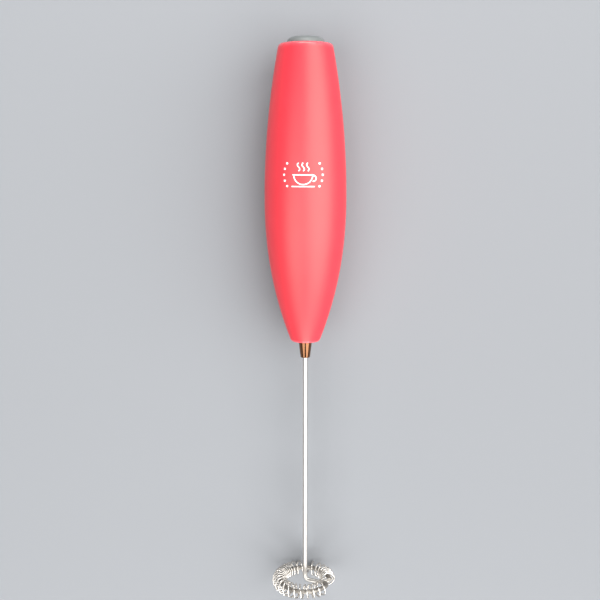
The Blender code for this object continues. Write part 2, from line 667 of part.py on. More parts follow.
def contact_plate(name, x, domed):
    """A contact at the button end, with a solder tab bent over the bulkhead."""
    half = CONTACT_SIZE / 2
    end = CONTACT_TOP_START + CONTACT_THICKNESS
    tab = TAB_HEIGHT - CONTACT_THICKNESS / 2
    made = block(name, (x - half, -half, CONTACT_TOP_START), (x + half, TAB_HEIGHT, end), BRASS)
    joined = [block(
        name + "_tab", (x - TAB_WIDTH / 2, tab, CONTACT_TOP_START - TAB_LENGTH),
        (x + TAB_WIDTH / 2, tab + CONTACT_THICKNESS, end - CONTACT_THICKNESS / 2), cutter=True)]
    if domed:
        joined.append(turned(name + "_dome", tube_profile(
            0, CONTACT_DOME_RADIUS, end - CONTACT_THICKNESS / 2, end + CONTACT_SPACE + GAP),
            across=x, cutter=True))
    return boolean(made, "UNION", joined)


def contact_bridge():
    """The strip that joins the two cells at the motor end, with a dome for one of them."""
    half = CONTACT_SIZE / 2
    reach = CELL_PITCH / 2
    end = CONTACT_BOTTOM_START + CONTACT_THICKNESS
    low = (-reach - half, -half, CONTACT_BOTTOM_START)
    made = block("contact_bridge", low, (reach + half, half, end), BRASS)
    dome = turned("bridge_dome", tube_profile(
        0, CONTACT_DOME_RADIUS, CELL_END + GAP, end - CONTACT_THICKNESS / 2), across=-reach, cutter=True)
    return boolean(made, "UNION", [dome])


def contact_springs():
    """The conical springs under the flat end of each cell."""
    middle = CONTACT_SPRING_WIRE / 2
    wide, narrow, turns = CONTACT_SPRING_WIDE, CONTACT_SPRING_NARROW, CONTACT_SPRING_TURNS
    start = CONTACT_TOP_START + CONTACT_THICKNESS + GAP + middle
    top = helix(wide, narrow, start, CELL_START - GAP - middle, turns)
    end = CONTACT_BOTTOM_START - GAP - middle
    bottom = helix(narrow, wide, CELL_END + GAP + middle, end, turns)
    for name, route, x in (("contact_spring_top", top, -CELL_PITCH / 2),
                           ("contact_spring_bottom", bottom, CELL_PITCH / 2)):
        wire(name, [point + Vector((x, 0, 0)) for point in route], middle, STEEL)


# ================================================================ motor
def flatted(radius, flat, steps=SHELL_STEPS):
    """A round outline with two flats."""
    corner = math.asin(flat / radius)
    side = steps // 4
    right = arc((0, 0), radius, -corner, corner, side)
    return right + arc((0, 0), radius, math.pi - corner, math.pi + corner, side)


def motor_case():
    """The steel can with its nose boss, the plastic end cap and its two terminals."""
    can = plate("motor_can", [flatted(MOTOR_RADIUS, MOTOR_FLAT)], CAN_START, MOTOR_END, ZINC)
    boss = turned("motor_boss", tube_profile(
        0, MOTOR_BOSS_RADIUS, MOTOR_END - EMBED, MOTOR_END + MOTOR_BOSS_HEIGHT), cutter=True)
    hollow = plate("motor_hollow", [flatted(MOTOR_RADIUS - MOTOR_CAN_WALL, MOTOR_FLAT - MOTOR_CAN_WALL)],
                   CAN_START - OVERRUN, MOTOR_END - MOTOR_CAN_WALL, cutter=True)
    hole = turned("motor_bush_hole", tube_profile(
        0, BUSH_RADIUS + GAP, MOTOR_END - OVERRUN, MOTOR_END + OVERRUN), cutter=True)
    boolean(can, "UNION", [boss])
    boolean(can, "DIFFERENCE", [hollow, hole])

    cap_end = MOTOR_START + MOTOR_CAP_THICKNESS
    cap_hole = arc((0, 0), BUSH_RADIUS + GAP, 0, 2 * math.pi * (1 - 1 / SMALL_STEPS), SMALL_STEPS - 1)
    plate("motor_end_cap", [flatted(MOTOR_RADIUS, MOTOR_FLAT), cap_hole], MOTOR_START, cap_end, WHITE)
    for label, sign in (("left", -1), ("right", 1)):
        x = sign * MOTOR_TERMINAL_OFFSET
        block(f"motor_terminal_{label}",
              (x - TERMINAL_THICKNESS / 2, -MOTOR_TERMINAL_DROP, MOTOR_START - GAP - MOTOR_TERMINAL_LENGTH),
              (x + TERMINAL_THICKNESS / 2, GAP, MOTOR_START - GAP), BRASS)
    front = (MOTOR_END - MOTOR_CAN_WALL, MOTOR_END + MOTOR_BOSS_HEIGHT)
    for name, (start, end) in (("motor_bush_front", front), ("motor_bush_rear", (MOTOR_START, cap_end))):
        turned(name, tube_profile(SHAFT_RADIUS + RUN_GAP, BUSH_RADIUS, start, end), BRASS)


def motor_magnets():
    """Two curved magnets against the can's round sides."""
    outer = MOTOR_RADIUS - MOTOR_CAN_WALL - GAP
    end = WINDING_START + MAGNET_LENGTH
    for label, middle in (("left", math.pi), ("right", 0.0)):
        low = middle - MAGNET_HALF_ANGLE
        high = middle + MAGNET_HALF_ANGLE
        section = arc((0, 0), outer, low, high, MAGNET_STEPS)
        section += arc((0, 0), outer - MAGNET_THICKNESS, high, low, MAGNET_STEPS)
        plate(f"motor_magnet_{label}", [section], WINDING_START, end, FERRITE)


def rotor_outline():
    """The section of the armature core: a hub with a neck and a curved shoe for each pole."""
    shoe_inner = ROTOR_RADIUS - ROTOR_SHOE
    neck_out = math.asin(ROTOR_NECK_HALF_WIDTH / shoe_inner)
    neck_in = math.asin(ROTOR_NECK_HALF_WIDTH / ROTOR_HUB_RADIUS)
    points = []
    for pole in range(POLES):
        middle = 2 * math.pi * pole / POLES
        points.append(around(ROTOR_HUB_RADIUS, middle - neck_in))
        points += arc((0, 0), shoe_inner, middle - neck_out, middle - ROTOR_SHOE_HALF_ANGLE, EDGE_STEPS)
        points += arc((0, 0), ROTOR_RADIUS, middle - ROTOR_SHOE_HALF_ANGLE,
                      middle + ROTOR_SHOE_HALF_ANGLE, 3 * EDGE_STEPS)
        points += arc((0, 0), shoe_inner, middle + ROTOR_SHOE_HALF_ANGLE, middle + neck_out, EDGE_STEPS)
        points.append(around(ROTOR_HUB_RADIUS, middle + neck_in))
    return points


def motor_rotor():
    """The armature: core, one winding a pole, commutator and shaft."""
    shaft_hole = arc((0, 0), SHAFT_RADIUS + GAP, 0, 2 * math.pi * (1 - 1 / SMALL_STEPS), SMALL_STEPS - 1)
    end = ROTOR_START + ROTOR_LENGTH
    plate("motor_rotor", [rotor_outline(), shaft_hole], ROTOR_START, end, ZINC, WHISK_AXIS)
    inner = ROTOR_NECK_HALF_WIDTH + GAP
    outer = inner + WINDING_BUILD
    low = ROTOR_HUB_RADIUS + GAP
    high = math.sqrt((ROTOR_RADIUS - ROTOR_SHOE - GAP) ** 2 - outer ** 2)
    for pole in range(POLES):
        name = f"motor_winding_{pole + 1}"
        winding = block(name, (low, -outer, ROTOR_START - GAP - WINDING_BUILD),
                        (high, outer, end + GAP + WINDING_BUILD), COPPER, WHISK_AXIS)
        opening = block(name + "_inside", (low - OVERRUN, -inner, ROTOR_START - GAP),
                        (high + OVERRUN, inner, end + GAP), cutter=True)
        turn_about_axis(winding, 2 * math.pi * pole / POLES)
        turn_about_axis(opening, 2 * math.pi * pole / POLES)
        boolean(winding, "DIFFERENCE", [opening])
    turned("motor_commutator", tube_profile(
        SHAFT_RADIUS + GAP, COMMUTATOR_RADIUS, COMMUTATOR_START, COMMUTATOR_START + COMMUTATOR_LENGTH),
        COPPER, WHISK_AXIS)
    turned("motor_shaft", tube_profile(0, SHAFT_RADIUS, MOTOR_START + GAP, SHAFT_END), STEEL, WHISK_AXIS)


def turn_about_axis(made, angle):
    """Move a piece round the axis, as one of a ring of equal pieces."""
    x, y, z = made.location
    made.location = (x * math.cos(angle) - y * math.sin(angle), x * math.sin(angle) + y * math.cos(angle), z)
    made.rotation_euler = (0, 0, angle)


def motor_brushes():
    """Two leaf brushes, one over and one under the commutator."""
    near = COMMUTATOR_RADIUS + GAP
    far = near + BRUSH_THICKNESS
    end = COMMUTATOR_START + COMMUTATOR_LENGTH - GAP
    block("motor_brush_upper", (-BRUSH_LONG, near, CAN_START), (BRUSH_SHORT, far, end), BRASS)
    block("motor_brush_lower", (-BRUSH_SHORT, -far, CAN_START), (BRUSH_LONG, -near, end), BRASS)


# ================================================================ shaft line and whisk
def shaft_line():
    """What carries the turning rod through the nose: coupler, seal and the plated cone."""
    rod_bore = ROD_RADIUS + GAP
    shaft_bore = SHAFT_RADIUS + GAP
    turned("shaft_coupler", [
        (shaft_bore, COUPLER_START), (COUPLER_RADIUS, COUPLER_START), (COUPLER_RADIUS, COUPLER_END),
        (rod_bore, COUPLER_END), (rod_bore, SHAFT_END + GAP / 2), (shaft_bore, SHAFT_END + GAP / 2)],
        BRASS, WHISK_AXIS)
    spigot = NOSE_TUBE_BORE - GAP
    running = ROD_RADIUS + RUN_GAP
    turned("shaft_seal", tube_profile(running, spigot, SEAL_START, SEAL_START + SEAL_THICKNESS), RUBBER)
    turned("nose_cone", [
        (spigot, CONE_START), (spigot, HANDLE_LENGTH + GAP),
        (CONE_TIP_RADIUS, HANDLE_LENGTH + CONE_LENGTH), (running, HANDLE_LENGTH + CONE_LENGTH),
        (running, CONE_START)], CHROME, steps=FINE_STEPS)


def on_arm(points, station):
    """Place flat points, given along and beside the arm, in the plane of the ring."""
    c, s = math.cos(ARM_ANGLE), math.sin(ARM_ANGLE)
    return [Vector((u * c - v * s, u * s + v * c, station)) for u, v in points]


def whisk_rod():
    """One length of wire: down the axis, out along the arm, and round the ring."""
    bend = arc((ROD_BEND, RING_STATION - ROD_BEND), ROD_BEND, math.pi, math.pi / 2, 2 * EDGE_STEPS)
    route = [Vector((0, 0, ROD_START))]
    for u, station in bend:
        route += on_arm([(u, 0)], station)
    foot = math.sqrt((RING_RADIUS - RING_BEND) ** 2 - RING_BEND ** 2)
    meet = math.atan2(RING_BEND, foot)
    corner = arc((foot, RING_BEND), RING_BEND, -math.pi / 2, meet, 2 * EDGE_STEPS)
    circle = arc((0, 0), RING_RADIUS, meet, 2 * math.pi - RING_OPENING, RING_STEPS)
    route += on_arm(corner + circle[1:], RING_STATION)
    return wire("whisk_rod", route, ROD_RADIUS, STEEL, WHISK_AXIS)


def whisk_coil():
    """The spring wire wound round the ring."""
    middle = COIL_RADIUS - COIL_WIRE / 2
    count = COIL_TURNS * COIL_STEPS
    route = []
    for step in range(count + 1):
        share = step / count
        around = COIL_START + (COIL_END - COIL_START) * share
        turn = math.pi / 2 + 2 * math.pi * COIL_TURNS * share
        reach = RING_RADIUS + middle * math.cos(turn)
        flat = (reach * math.cos(around), reach * math.sin(around))
        route += on_arm([flat], RING_STATION - middle * math.sin(turn))
    return wire("whisk_coil", route, COIL_WIRE / 2, STEEL, WHISK_AXIS)


# ================================================================ wiring
def smooth_route(points, spacing):
    """Even points along a smooth curve through a route's own points."""
    ends = [2 * points[0] - points[1]] + points + [2 * points[-1] - points[-2]]
    fine = [points[0]]
    for before, start, end, after in zip(ends, ends[1:], ends[2:], ends[3:]):
        steps = max(1, round((end - start).length / spacing))
        for step in range(1, steps + 1):
            t = step / steps
            pull = (end - before) * t + (2 * before - 5 * start + 4 * end - after) * t ** 2
            pull += (3 * start - before - 3 * end + after) * t ** 3
            fine.append(start + pull / 2)
    return fine


def lead(name, points, surface):
    """An insulated wire inside the handle."""
    route = smooth_route([Vector(point) for point in points], LEAD_SPACING)
    return wire(name, route, LEAD_RADIUS, surface)


def leads():
    """Link from the switch to the first contact, and the two leads that run under the tray."""
    tab_end = CONTACT_TOP_START - TAB_LENGTH - GAP
    pin_end = SWITCH_END + GAP + TERMINAL_LENGTH + GAP
    reach = CELL_PITCH / 2
    lead("lead_link", [
        (0, TERMINAL_OFFSET, pin_end),
        (0.6 * MM, TERMINAL_OFFSET + 0.6 * MM, pin_end + 1.2 * MM),
        (3.4 * MM, TAB_HEIGHT, pin_end + 1.0 * MM),
        (reach - 0.6 * MM, TAB_HEIGHT, tab_end - 0.7 * MM),
        (reach, TAB_HEIGHT, tab_end)], RED_PVC)
    lead("lead_red", [
        (0, -TERMINAL_OFFSET, pin_end),
        (0.9 * MM, -3.4 * MM, pin_end + 1.0 * MM)] + tray_run(1), RED_PVC)
    lead("lead_black", [
        (-reach, TAB_HEIGHT, tab_end),
        (-reach + 0.5 * MM, TAB_HEIGHT - 1.0 * MM, tab_end - 1.2 * MM),
        (-4.2 * MM, 0.5 * MM, tab_end - 0.8 * MM)] + tray_run(-1), BLACK_PVC)


def tray_run(side):
    """A lead's way through the floor, along beside the keel, and up to the motor's terminal."""
    run = -(FLOOR_BOTTOM + LEAD_DEPTH)
    rise = MOTOR_START - GAP - MOTOR_TERMINAL_LENGTH / 2
    return [
        (side * LEAD_HOLE_OFFSET, -FLOOR_TOP + PLATE, LEAD_HOLE_STATION),
        (side * LEAD_HOLE_OFFSET, -FLOOR_BOTTOM, LEAD_HOLE_STATION),
        (side * LEAD_TRACK, run, LEAD_HOLE_STATION + LEAD_SWEEP),
        (side * LEAD_TRACK, run, (CELL_START + CELL_END) / 2),
        (side * LEAD_TRACK, run, rise - 2 * LEAD_SWEEP),
        (side * MOTOR_TERMINAL_OFFSET, -FLOOR_BOTTOM, rise - GAP),
        (side * MOTOR_TERMINAL_OFFSET, -MOTOR_FLAT, rise),
        (side * MOTOR_TERMINAL_OFFSET, -MOTOR_TERMINAL_DROP - GAP, rise)]


# ================================================================ the frother
rear_shell()
battery_cover()
chassis()
chassis_screw("left", -SCREW_OFFSET)
chassis_screw("right", SCREW_OFFSET)
power_button()
switch()
battery("battery_a", CELL_PITCH / 2, True)
battery("battery_b", -CELL_PITCH / 2, False)
contact_plate("contact_positive", CELL_PITCH / 2, True)
contact_plate("contact_negative", -CELL_PITCH / 2, False)
contact_bridge()
contact_springs()
motor_case()
motor_magnets()
motor_rotor()
motor_brushes()
shaft_line()
whisk_rod()
whisk_coil()
leads()
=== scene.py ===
"""Looks of a hand-held battery milk frother: soft-touch handle, push button, plated cone, ring whisk.

The wand lies along Y with the button towards +Y and the battery cover on top. Most shapes are made
from three numbers: across (X), up over the handle's axis (Z), and station, the distance from the
handle's button end towards the whisk (-Y).
"""
import math

import bmesh
import bpy
from mathutils import Matrix, Vector


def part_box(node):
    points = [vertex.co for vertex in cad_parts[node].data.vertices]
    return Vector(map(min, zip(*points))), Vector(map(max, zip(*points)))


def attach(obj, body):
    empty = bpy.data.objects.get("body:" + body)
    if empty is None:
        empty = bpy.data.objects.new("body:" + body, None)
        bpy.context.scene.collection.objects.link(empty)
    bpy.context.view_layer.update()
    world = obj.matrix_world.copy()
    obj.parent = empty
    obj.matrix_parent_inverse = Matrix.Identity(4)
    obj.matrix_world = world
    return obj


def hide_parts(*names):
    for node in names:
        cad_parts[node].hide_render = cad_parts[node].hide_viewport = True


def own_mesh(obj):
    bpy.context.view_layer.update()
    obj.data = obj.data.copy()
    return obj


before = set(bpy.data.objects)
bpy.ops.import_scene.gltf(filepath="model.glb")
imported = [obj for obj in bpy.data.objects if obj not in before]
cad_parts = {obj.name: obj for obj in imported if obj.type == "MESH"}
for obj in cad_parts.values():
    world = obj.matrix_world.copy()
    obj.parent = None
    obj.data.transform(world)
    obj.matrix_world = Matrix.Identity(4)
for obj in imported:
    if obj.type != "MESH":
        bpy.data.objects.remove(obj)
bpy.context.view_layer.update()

MM = 0.001

# ---------------------------------------------------------------- from the frame
REAR_LOW, REAR_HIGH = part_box("rear_shell")
COVER_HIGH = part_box("battery_cover")[1]
COIL_LOW, COIL_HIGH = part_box("whisk_coil")
CONE_LOW, CONE_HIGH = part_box("nose_cone")

BUTTON_END = REAR_HIGH.y
HANDLE_RADIUS = (REAR_HIGH.x - REAR_LOW.x) / 2
HANDLE_LENGTH = REAR_HIGH.y - REAR_LOW.y
AXIS_HEIGHT = COVER_HIGH.z - HANDLE_RADIUS
RING_STATION = BUTTON_END - (COIL_LOW.y + COIL_HIGH.y) / 2
RING_LOWEST = COIL_LOW.z
CELL_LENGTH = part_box("battery_a")[1].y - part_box("battery_a")[0].y

# ---------------------------------------------------------------- handle form
BELLY_STATION = 64.7 * MM
TOP_RADIUS = 11.25 * MM
NOSE_RADIUS = 6.3 * MM
TOP_POWER = 2.0
NOSE_POWER = 2.1
TOP_EDGE = 1.5 * MM
NOSE_EDGE = 0.8 * MM
WALL = 1.5 * MM
END_WALL = 1.8 * MM
BUTTON_HOLE = 8.5 * MM
NOSE_HOLE = 3.6 * MM
PARTING_GAP = 0.12 * MM             # between the two halves, as moulded parts meet
PARTING_EDGE = 0.16 * MM            # rounding of the halves along the parting line
HOLE_EDGE = 0.3 * MM
RIB_STATIONS = (46.0 * MM, 76.0 * MM)
RIB_THICKNESS = 1.2 * MM
RIB_BOTTOM = 10.4 * MM
RIB_HALF_WIDTH = 9.0 * MM
POST_TOP = -9.2 * MM
POST_RADIUS = 2.2 * MM
POST_HOLE_RADIUS = 1.4 * MM
POST_HOLE_DEPTH = 3.7 * MM
POST_OFFSET = 6.8 * MM
POST_STATION = 27.4 * MM

# ---------------------------------------------------------------- button, cone and whisk
BUTTON_RADIUS = 8.15 * MM
BUTTON_FACE_RADIUS = 5.5 * MM
BUTTON_RISE = 2.6 * MM
BUTTON_SHOULDER_POWER = 1.6
BUTTON_DISH = 0.12 * MM             # how hollow the face is at its middle
BUTTON_FLANGE_RADIUS = 9.3 * MM
BUTTON_FLANGE_START = 2.1 * MM
BUTTON_FLANGE_END = 3.3 * MM
BUTTON_SKIRT = 6.0 * MM
BUTTON_HOLLOW_RADIUS = 6.85 * MM
BUTTON_ROOF = -1.0 * MM
BUTTON_STEM_RADIUS = 1.8 * MM
BUTTON_STEM_END = 4.6 * MM
CONE_SPIGOT_RADIUS = 3.0 * MM
CONE_TIP_RADIUS = 2.1 * MM
CONE_BORE = 1.35 * MM
CONE_EDGE = 0.22 * MM
CONE_SHOULDER = 0.3 * MM            # how far the plug stands out before the taper starts
ROD_RADIUS = 1.0 * MM
ROD_BEND = 2.2 * MM
RING_RADIUS = 11.25 * MM
RING_BEND = 2.4 * MM
RING_OPENING = math.radians(16)
ARM_ANGLE = math.radians(15)
COIL_RADIUS = 3.4 * MM
COIL_WIRE = 0.75 * MM
COIL_START = math.radians(20)
COIL_ASIDE = -0.6 * MM              # how far the loose coil has slid across the ring
COIL_STRETCHES = ((160, 12.0), (243, 9.0), (274, 1.0), (346, 6.5))   # angle it reaches, and turns

# ---------------------------------------------------------------- cells and springs
CELL_RADIUS = 7.1 * MM
CELL_EDGE = 0.6 * MM
CELL_CRIMP = 0.2 * MM               # how deep the crimped ends are sunk
CELL_ROUNDING = 0.4 * MM
NUB_RADIUS = 2.75 * MM
NUB_RISE = 1.3 * MM
CONTACT_WIRE = 0.3 * MM             # wire radius of the two contact springs
CONTACT_WIDE = 4.0 * MM
CONTACT_NARROW = 2.2 * MM
CONTACT_TURNS = 2.75
RETURN_WIRE = 0.2 * MM              # wire radius of the switch's return spring
RETURN_RADIUS = 2.75 * MM
RETURN_TURNS = 4.5

# ---------------------------------------------------------------- fineness
HALF_STEPS = 72
BODY_STEPS = 66
EDGE_STEPS = 7
ROUND_STEPS = 96
CELL_STEPS = 72
POST_STEPS = 48
RIB_STEPS = 24
LIP_STEPS = 3
BEND_STEPS = 14
RING_STEPS = 120
DISH_STEPS = 8
SHOULDER_STEPS = 16
WIRE_SIDES = 24
NOISE_LOW, NOISE_HIGH = 0.3, 0.7    # where most of a noise pattern's values lie


# ================================================================ materials
def linear(hex_colour):
    """A linear colour from an sRGB hex value."""
    channels = [int(hex_colour[i:i + 2], 16) / 255 for i in (1, 3, 5)]
    return (*[c / 12.92 if c <= 0.04045 else ((c + 0.055) / 1.055) ** 2.4 for c in channels], 1.0)


def node(tree, kind, values=None, links=None, **settings):
    """Add one node, with its settings, its unlinked values, and the sockets that feed it."""
    made = tree.nodes.new(kind)
    for name, value in settings.items():
        setattr(made, name, value)
    for socket, value in (values or {}).items():
        made.inputs[socket].default_value = value
    for socket, source in (links or {}).items():
        tree.links.new(source, made.inputs[socket])
    return made


def math_node(tree, operation, first, second=None):
    """A Math node on fields or numbers; the result's socket."""
    values, links = {}, {}
    for index, term in enumerate((first, second)):
        if term is None:
            continue
        (values if isinstance(term, (int, float)) else links)[index] = term
    return node(tree, "ShaderNodeMath", values, links, operation=operation).outputs[0]


def start_material(name, colour, roughness, **values):
    """A Principled material with its constants, and the Object coordinates to draw on it with."""
    material = bpy.data.materials.new(name)
    material.use_nodes = True
    tree = material.node_tree
    shader = tree.nodes["Principled BSDF"]
    shader.inputs["Base Color"].default_value = linear(colour)
    shader.inputs["Roughness"].default_value = roughness
    for socket, value in values.items():
        shader.inputs[socket.replace("_", " ")].default_value = value
    place = node(tree, "ShaderNodeTexCoord").outputs["Object"]
    return material, tree, shader, place


def mottle(tree, shader, place, size, dark, light, detail=3.0):
    """Let the colour wander between two tones in patches of a real size."""
    patches = node(tree, "ShaderNodeTexNoise", {"Scale": 1 / size, "Detail": detail}, {"Vector": place})
    tones = node(tree, "ShaderNodeMix", {6: linear(dark), 7: linear(light)},
                 {0: patches.outputs["Fac"]}, data_type="RGBA")
    tree.links.new(tones.outputs[2], shader.inputs["Base Color"])


def uneven_gloss(tree, shader, place, size, low, high):
    """Let the roughness wander between two values, as handling and moulding leave it."""
    patches = node(tree, "ShaderNodeTexNoise", {"Scale": 1 / size, "Detail": 4.0}, {"Vector": place})
    spread = node(tree, "ShaderNodeMapRange", {"From Min": NOISE_LOW, "From Max": NOISE_HIGH,
                                               "To Min": low, "To Max": high},
                  {"Value": patches.outputs["Fac"]})
    tree.links.new(spread.outputs["Result"], shader.inputs["Roughness"])


def grain(tree, shader, place, size, depth, stretch=(1, 1, 1)):
    """Fine relief of a real grain size and depth; stretch draws it out along an axis."""
    drawn = node(tree, "ShaderNodeMapping", {"Scale": stretch}, {"Vector": place})
    relief = node(tree, "ShaderNodeTexNoise", {"Scale": 1 / size, "Detail": 2.0},
                  {"Vector": drawn.outputs["Vector"]})
    bump = node(tree, "ShaderNodeBump", {"Strength": 1.0, "Distance": depth},
                {"Height": relief.outputs["Fac"]})
    tree.links.new(bump.outputs["Normal"], shader.inputs["Normal"])


def rim_wear_and_highlight(tree, place):
    """How rubbed the paint is, 0 to 1: only along the handle's two end rims, and in patches; the lighter
    colour it gives there is partly a painted highlight.
    """
    parts = node(tree, "ShaderNodeSeparateXYZ", links={"Vector": place})
    rims = []
    for edge, reach in ((BUTTON_END, -2.4 * MM), (BUTTON_END - HANDLE_LENGTH, 1.4 * MM)):
        near = node(tree, "ShaderNodeMapRange", {"From Min": edge + reach, "From Max": edge},
                    {"Value": parts.outputs["Y"]}, interpolation_type="SMOOTHSTEP")
        rims.append(near.outputs["Result"])
    both = math_node(tree, "MAXIMUM", *rims)
    patches = node(tree, "ShaderNodeTexNoise", {"Scale": 1 / (3 * MM), "Detail": 5.0}, {"Vector": place})
    spread = node(tree, "ShaderNodeMapRange", {"From Min": 0.35, "From Max": 0.6, "To Min": 0.45},
                  {"Value": patches.outputs["Fac"]})
    return math_node(tree, "MULTIPLY", both, spread.outputs["Result"])


def soft_touch_red():
    """Soft-touch paint on moulded ABS: a velvety red that scatters a broad, milky highlight."""
    material, tree, shader, place = start_material(
        "soft_touch_paint_red", "#D62238", 0.46, Specular_IOR_Level=0.88, Sheen_Weight=0.03,
        Sheen_Roughness=0.45)
    shader.inputs["Specular Tint"].default_value = linear("#FFFFE6")
    shader.inputs["Sheen Tint"].default_value = linear("#FFD9DA")
    rubbed_and_highlit = rim_wear_and_highlight(tree, place)
    patches = node(tree, "ShaderNodeTexNoise", {"Scale": 1 / (9 * MM), "Detail": 3.0}, {"Vector": place})
    paint = node(tree, "ShaderNodeMix", {6: linear("#D41E34"), 7: linear("#D9243A")},
                 {0: patches.outputs["Fac"]}, data_type="RGBA")
    # Rims: lighter, pinker paint that is partly rubbed wear and partly a painted highlight on the rim
    # edges.
    colour = node(tree, "ShaderNodeMix", {7: linear("#E25A66")}, {0: rubbed_and_highlit, 6: paint.outputs[2]},
                  data_type="RGBA")
    gloss = node(tree, "ShaderNodeMapRange", {"To Min": 0.47, "To Max": 0.2}, {"Value": rubbed_and_highlit})
    tree.links.new(colour.outputs[2], shader.inputs["Base Color"])
    tree.links.new(gloss.outputs["Result"], shader.inputs["Roughness"])
    grain(tree, shader, place, 0.4 * MM, 0.012 * MM)      # real grit is 0.1 mm; coarser so it shows
    return material


def button_grey():
    """Moulded ABS with a spark-eroded texture: a flat mid grey with a faint sparkle of grain."""
    material, tree, shader, place = start_material("moulded_abs_grey", "#6F7372", 0.5)
    mottle(tree, shader, place, 4 * MM, "#6B6F6E", "#737776")
    uneven_gloss(tree, shader, place, 6 * MM, 0.44, 0.54)
    grain(tree, shader, place, 0.35 * MM, 0.02 * MM)
    return material


def plated_cone():
    """Bronze-tinted nickel plating, polished: dark and mirror-like, with faint turning marks."""
    material, tree, shader, place = start_material("nickel_plating_bronze", "#80593F", 0.07,
                                                   Metallic=1.0)
    uneven_gloss(tree, shader, place, 2 * MM, 0.06, 0.14)
    grain(tree, shader, place, 0.25 * MM, 0.002 * MM, stretch=(0.1, 1, 0.1))
    return material


def stainless_wire():
    """Drawn stainless wire: bright, with draw marks; where the ring runs inside the coil it is rougher,
    and painted darker as shade from the loops.
    """
    material, tree, shader, place = start_material("drawn_stainless_steel", "#C9C5BF", 0.3, Metallic=1.0)
    parts = node(tree, "ShaderNodeSeparateXYZ", links={"Vector": place})
    ring_y = BUTTON_END - RING_STATION
    at_ring = node(tree, "ShaderNodeMapRange",
                   {"From Min": ring_y + 2.2 * MM, "From Max": ring_y + 1.2 * MM},
                   {"Value": parts.outputs["Y"]})
    up = math_node(tree, "SUBTRACT", parts.outputs["Z"], AXIS_HEIGHT)
    squares = [math_node(tree, "MULTIPLY", length, length) for length in (parts.outputs["X"], up)]
    reach = math_node(tree, "SQRT", math_node(tree, "ADD", *squares))
    outside = node(tree, "ShaderNodeMapRange", {"From Min": 8.0 * MM, "From Max": 9.5 * MM},
                   {"Value": reach})
    # Where the ring runs inside the coil: the darker colour there is painted shade from the loops.
    coil_shade_mask = math_node(tree, "MULTIPLY", at_ring.outputs["Result"], outside.outputs["Result"])
    patches = node(tree, "ShaderNodeTexNoise", {"Scale": 1 / (3 * MM), "Detail": 3.0}, {"Vector": place})
    bright = node(tree, "ShaderNodeMix", {6: linear("#BFBBB5"), 7: linear("#D3CFC9")},
                  {0: patches.outputs["Fac"]}, data_type="RGBA")
    # Painted shade: darker steel where the coil's loops shadow the ring.
    steel = node(tree, "ShaderNodeMix", {7: linear("#98938C")}, {0: coil_shade_mask, 6: bright.outputs[2]},
                 data_type="RGBA")
    gloss = node(tree, "ShaderNodeMapRange", {"To Min": 0.3, "To Max": 0.5}, {"Value": coil_shade_mask})
    tree.links.new(steel.outputs[2], shader.inputs["Base Color"])
    tree.links.new(gloss.outputs["Result"], shader.inputs["Roughness"])
    grain(tree, shader, place, 0.16 * MM, 0.0015 * MM, stretch=(1, 0.02, 1))
    return material


def spring_wire():
    """Bright-drawn spring wire for the whisk's coil and the contacts' springs."""
    material, tree, shader, place = start_material("bright_spring_wire", "#D6D1CA", 0.27, Metallic=1.0)
    mottle(tree, shader, place, 2 * MM, "#CBC6BF", "#E1DCD5")
    uneven_gloss(tree, shader, place, 3 * MM, 0.23, 0.31)
    return material


def chassis_white():
    """Natural ABS as moulded: an ivory white that lets a little light in."""
    material, tree, shader, place = start_material(
        "natural_abs_ivory", "#E9E5D8", 0.45, Subsurface_Weight=0.15, Subsurface_Scale=0.8 * MM)
    shader.inputs["Subsurface Radius"].default_value = (1.0, 0.8, 0.6)
    mottle(tree, shader, place, 8 * MM, "#E5E1D3", "#ECE8DC")
    uneven_gloss(tree, shader, place, 10 * MM, 0.36, 0.52)
    grain(tree, shader, place, 0.5 * MM, 0.01 * MM)
    return material


def zinc_steel():
    """Zinc-plated sheet steel: a cool, slightly cloudy grey with a rolled grain."""
    material, tree, shader, place = start_material("zinc_plated_steel", "#BFC2C4", 0.33, Metallic=1.0)
    mottle(tree, shader, place, 2.5 * MM, "#B2B5B8", "#C8CBCD", 5.0)
    uneven_gloss(tree, shader, place, 3 * MM, 0.26, 0.42)
    grain(tree, shader, place, 0.3 * MM, 0.005 * MM, stretch=(1, 0.1, 1))
    return material


def black_nylon():
    """Glass-filled nylon: black with a dull, slightly streaked skin."""
    material, tree, shader, place = start_material("glass_filled_nylon_black", "#1B1B1D", 0.55)
    mottle(tree, shader, place, 3 * MM, "#171719", "#222224")
    grain(tree, shader, place, 0.3 * MM, 0.02 * MM, stretch=(1, 0.3, 1))
    return material


def contact_brass():
    """Stamped brass sheet: yellow metal with light tarnish patches."""
    material, tree, shader, place = start_material("stamped_brass", "#D8B565", 0.28, Metallic=1.0)
    mottle(tree, shader, place, 3 * MM, "#C29D52", "#E0BF72", 5.0)
    uneven_gloss(tree, shader, place, 3 * MM, 0.2, 0.38)
    grain(tree, shader, place, 0.25 * MM, 0.004 * MM, stretch=(1, 0.1, 1))
    return material


WIRE_PITCH = 0.25 * MM
WAVE_SPAN = 3.2                     # a wave texture's bands lie about 1 / (3.2 * scale) apart


def enamelled_copper():
    """Wound enamelled copper wire: fine ribs of lacquered orange metal, 0.25 mm apart."""
    material, tree, shader, place = start_material(
        "enamelled_copper_wire", "#B4582B", 0.25, Metallic=0.9, Coat_Weight=0.6, Coat_Roughness=0.1)
    turns = node(tree, "ShaderNodeTexWave", {"Scale": 1 / (WAVE_SPAN * WIRE_PITCH)}, {"Vector": place},
                 bands_direction="Y")
    bump = node(tree, "ShaderNodeBump", {"Strength": 0.6, "Distance": 0.05 * MM},
                {"Height": turns.outputs["Fac"]})
    tree.links.new(bump.outputs["Normal"], shader.inputs["Normal"])
    return material


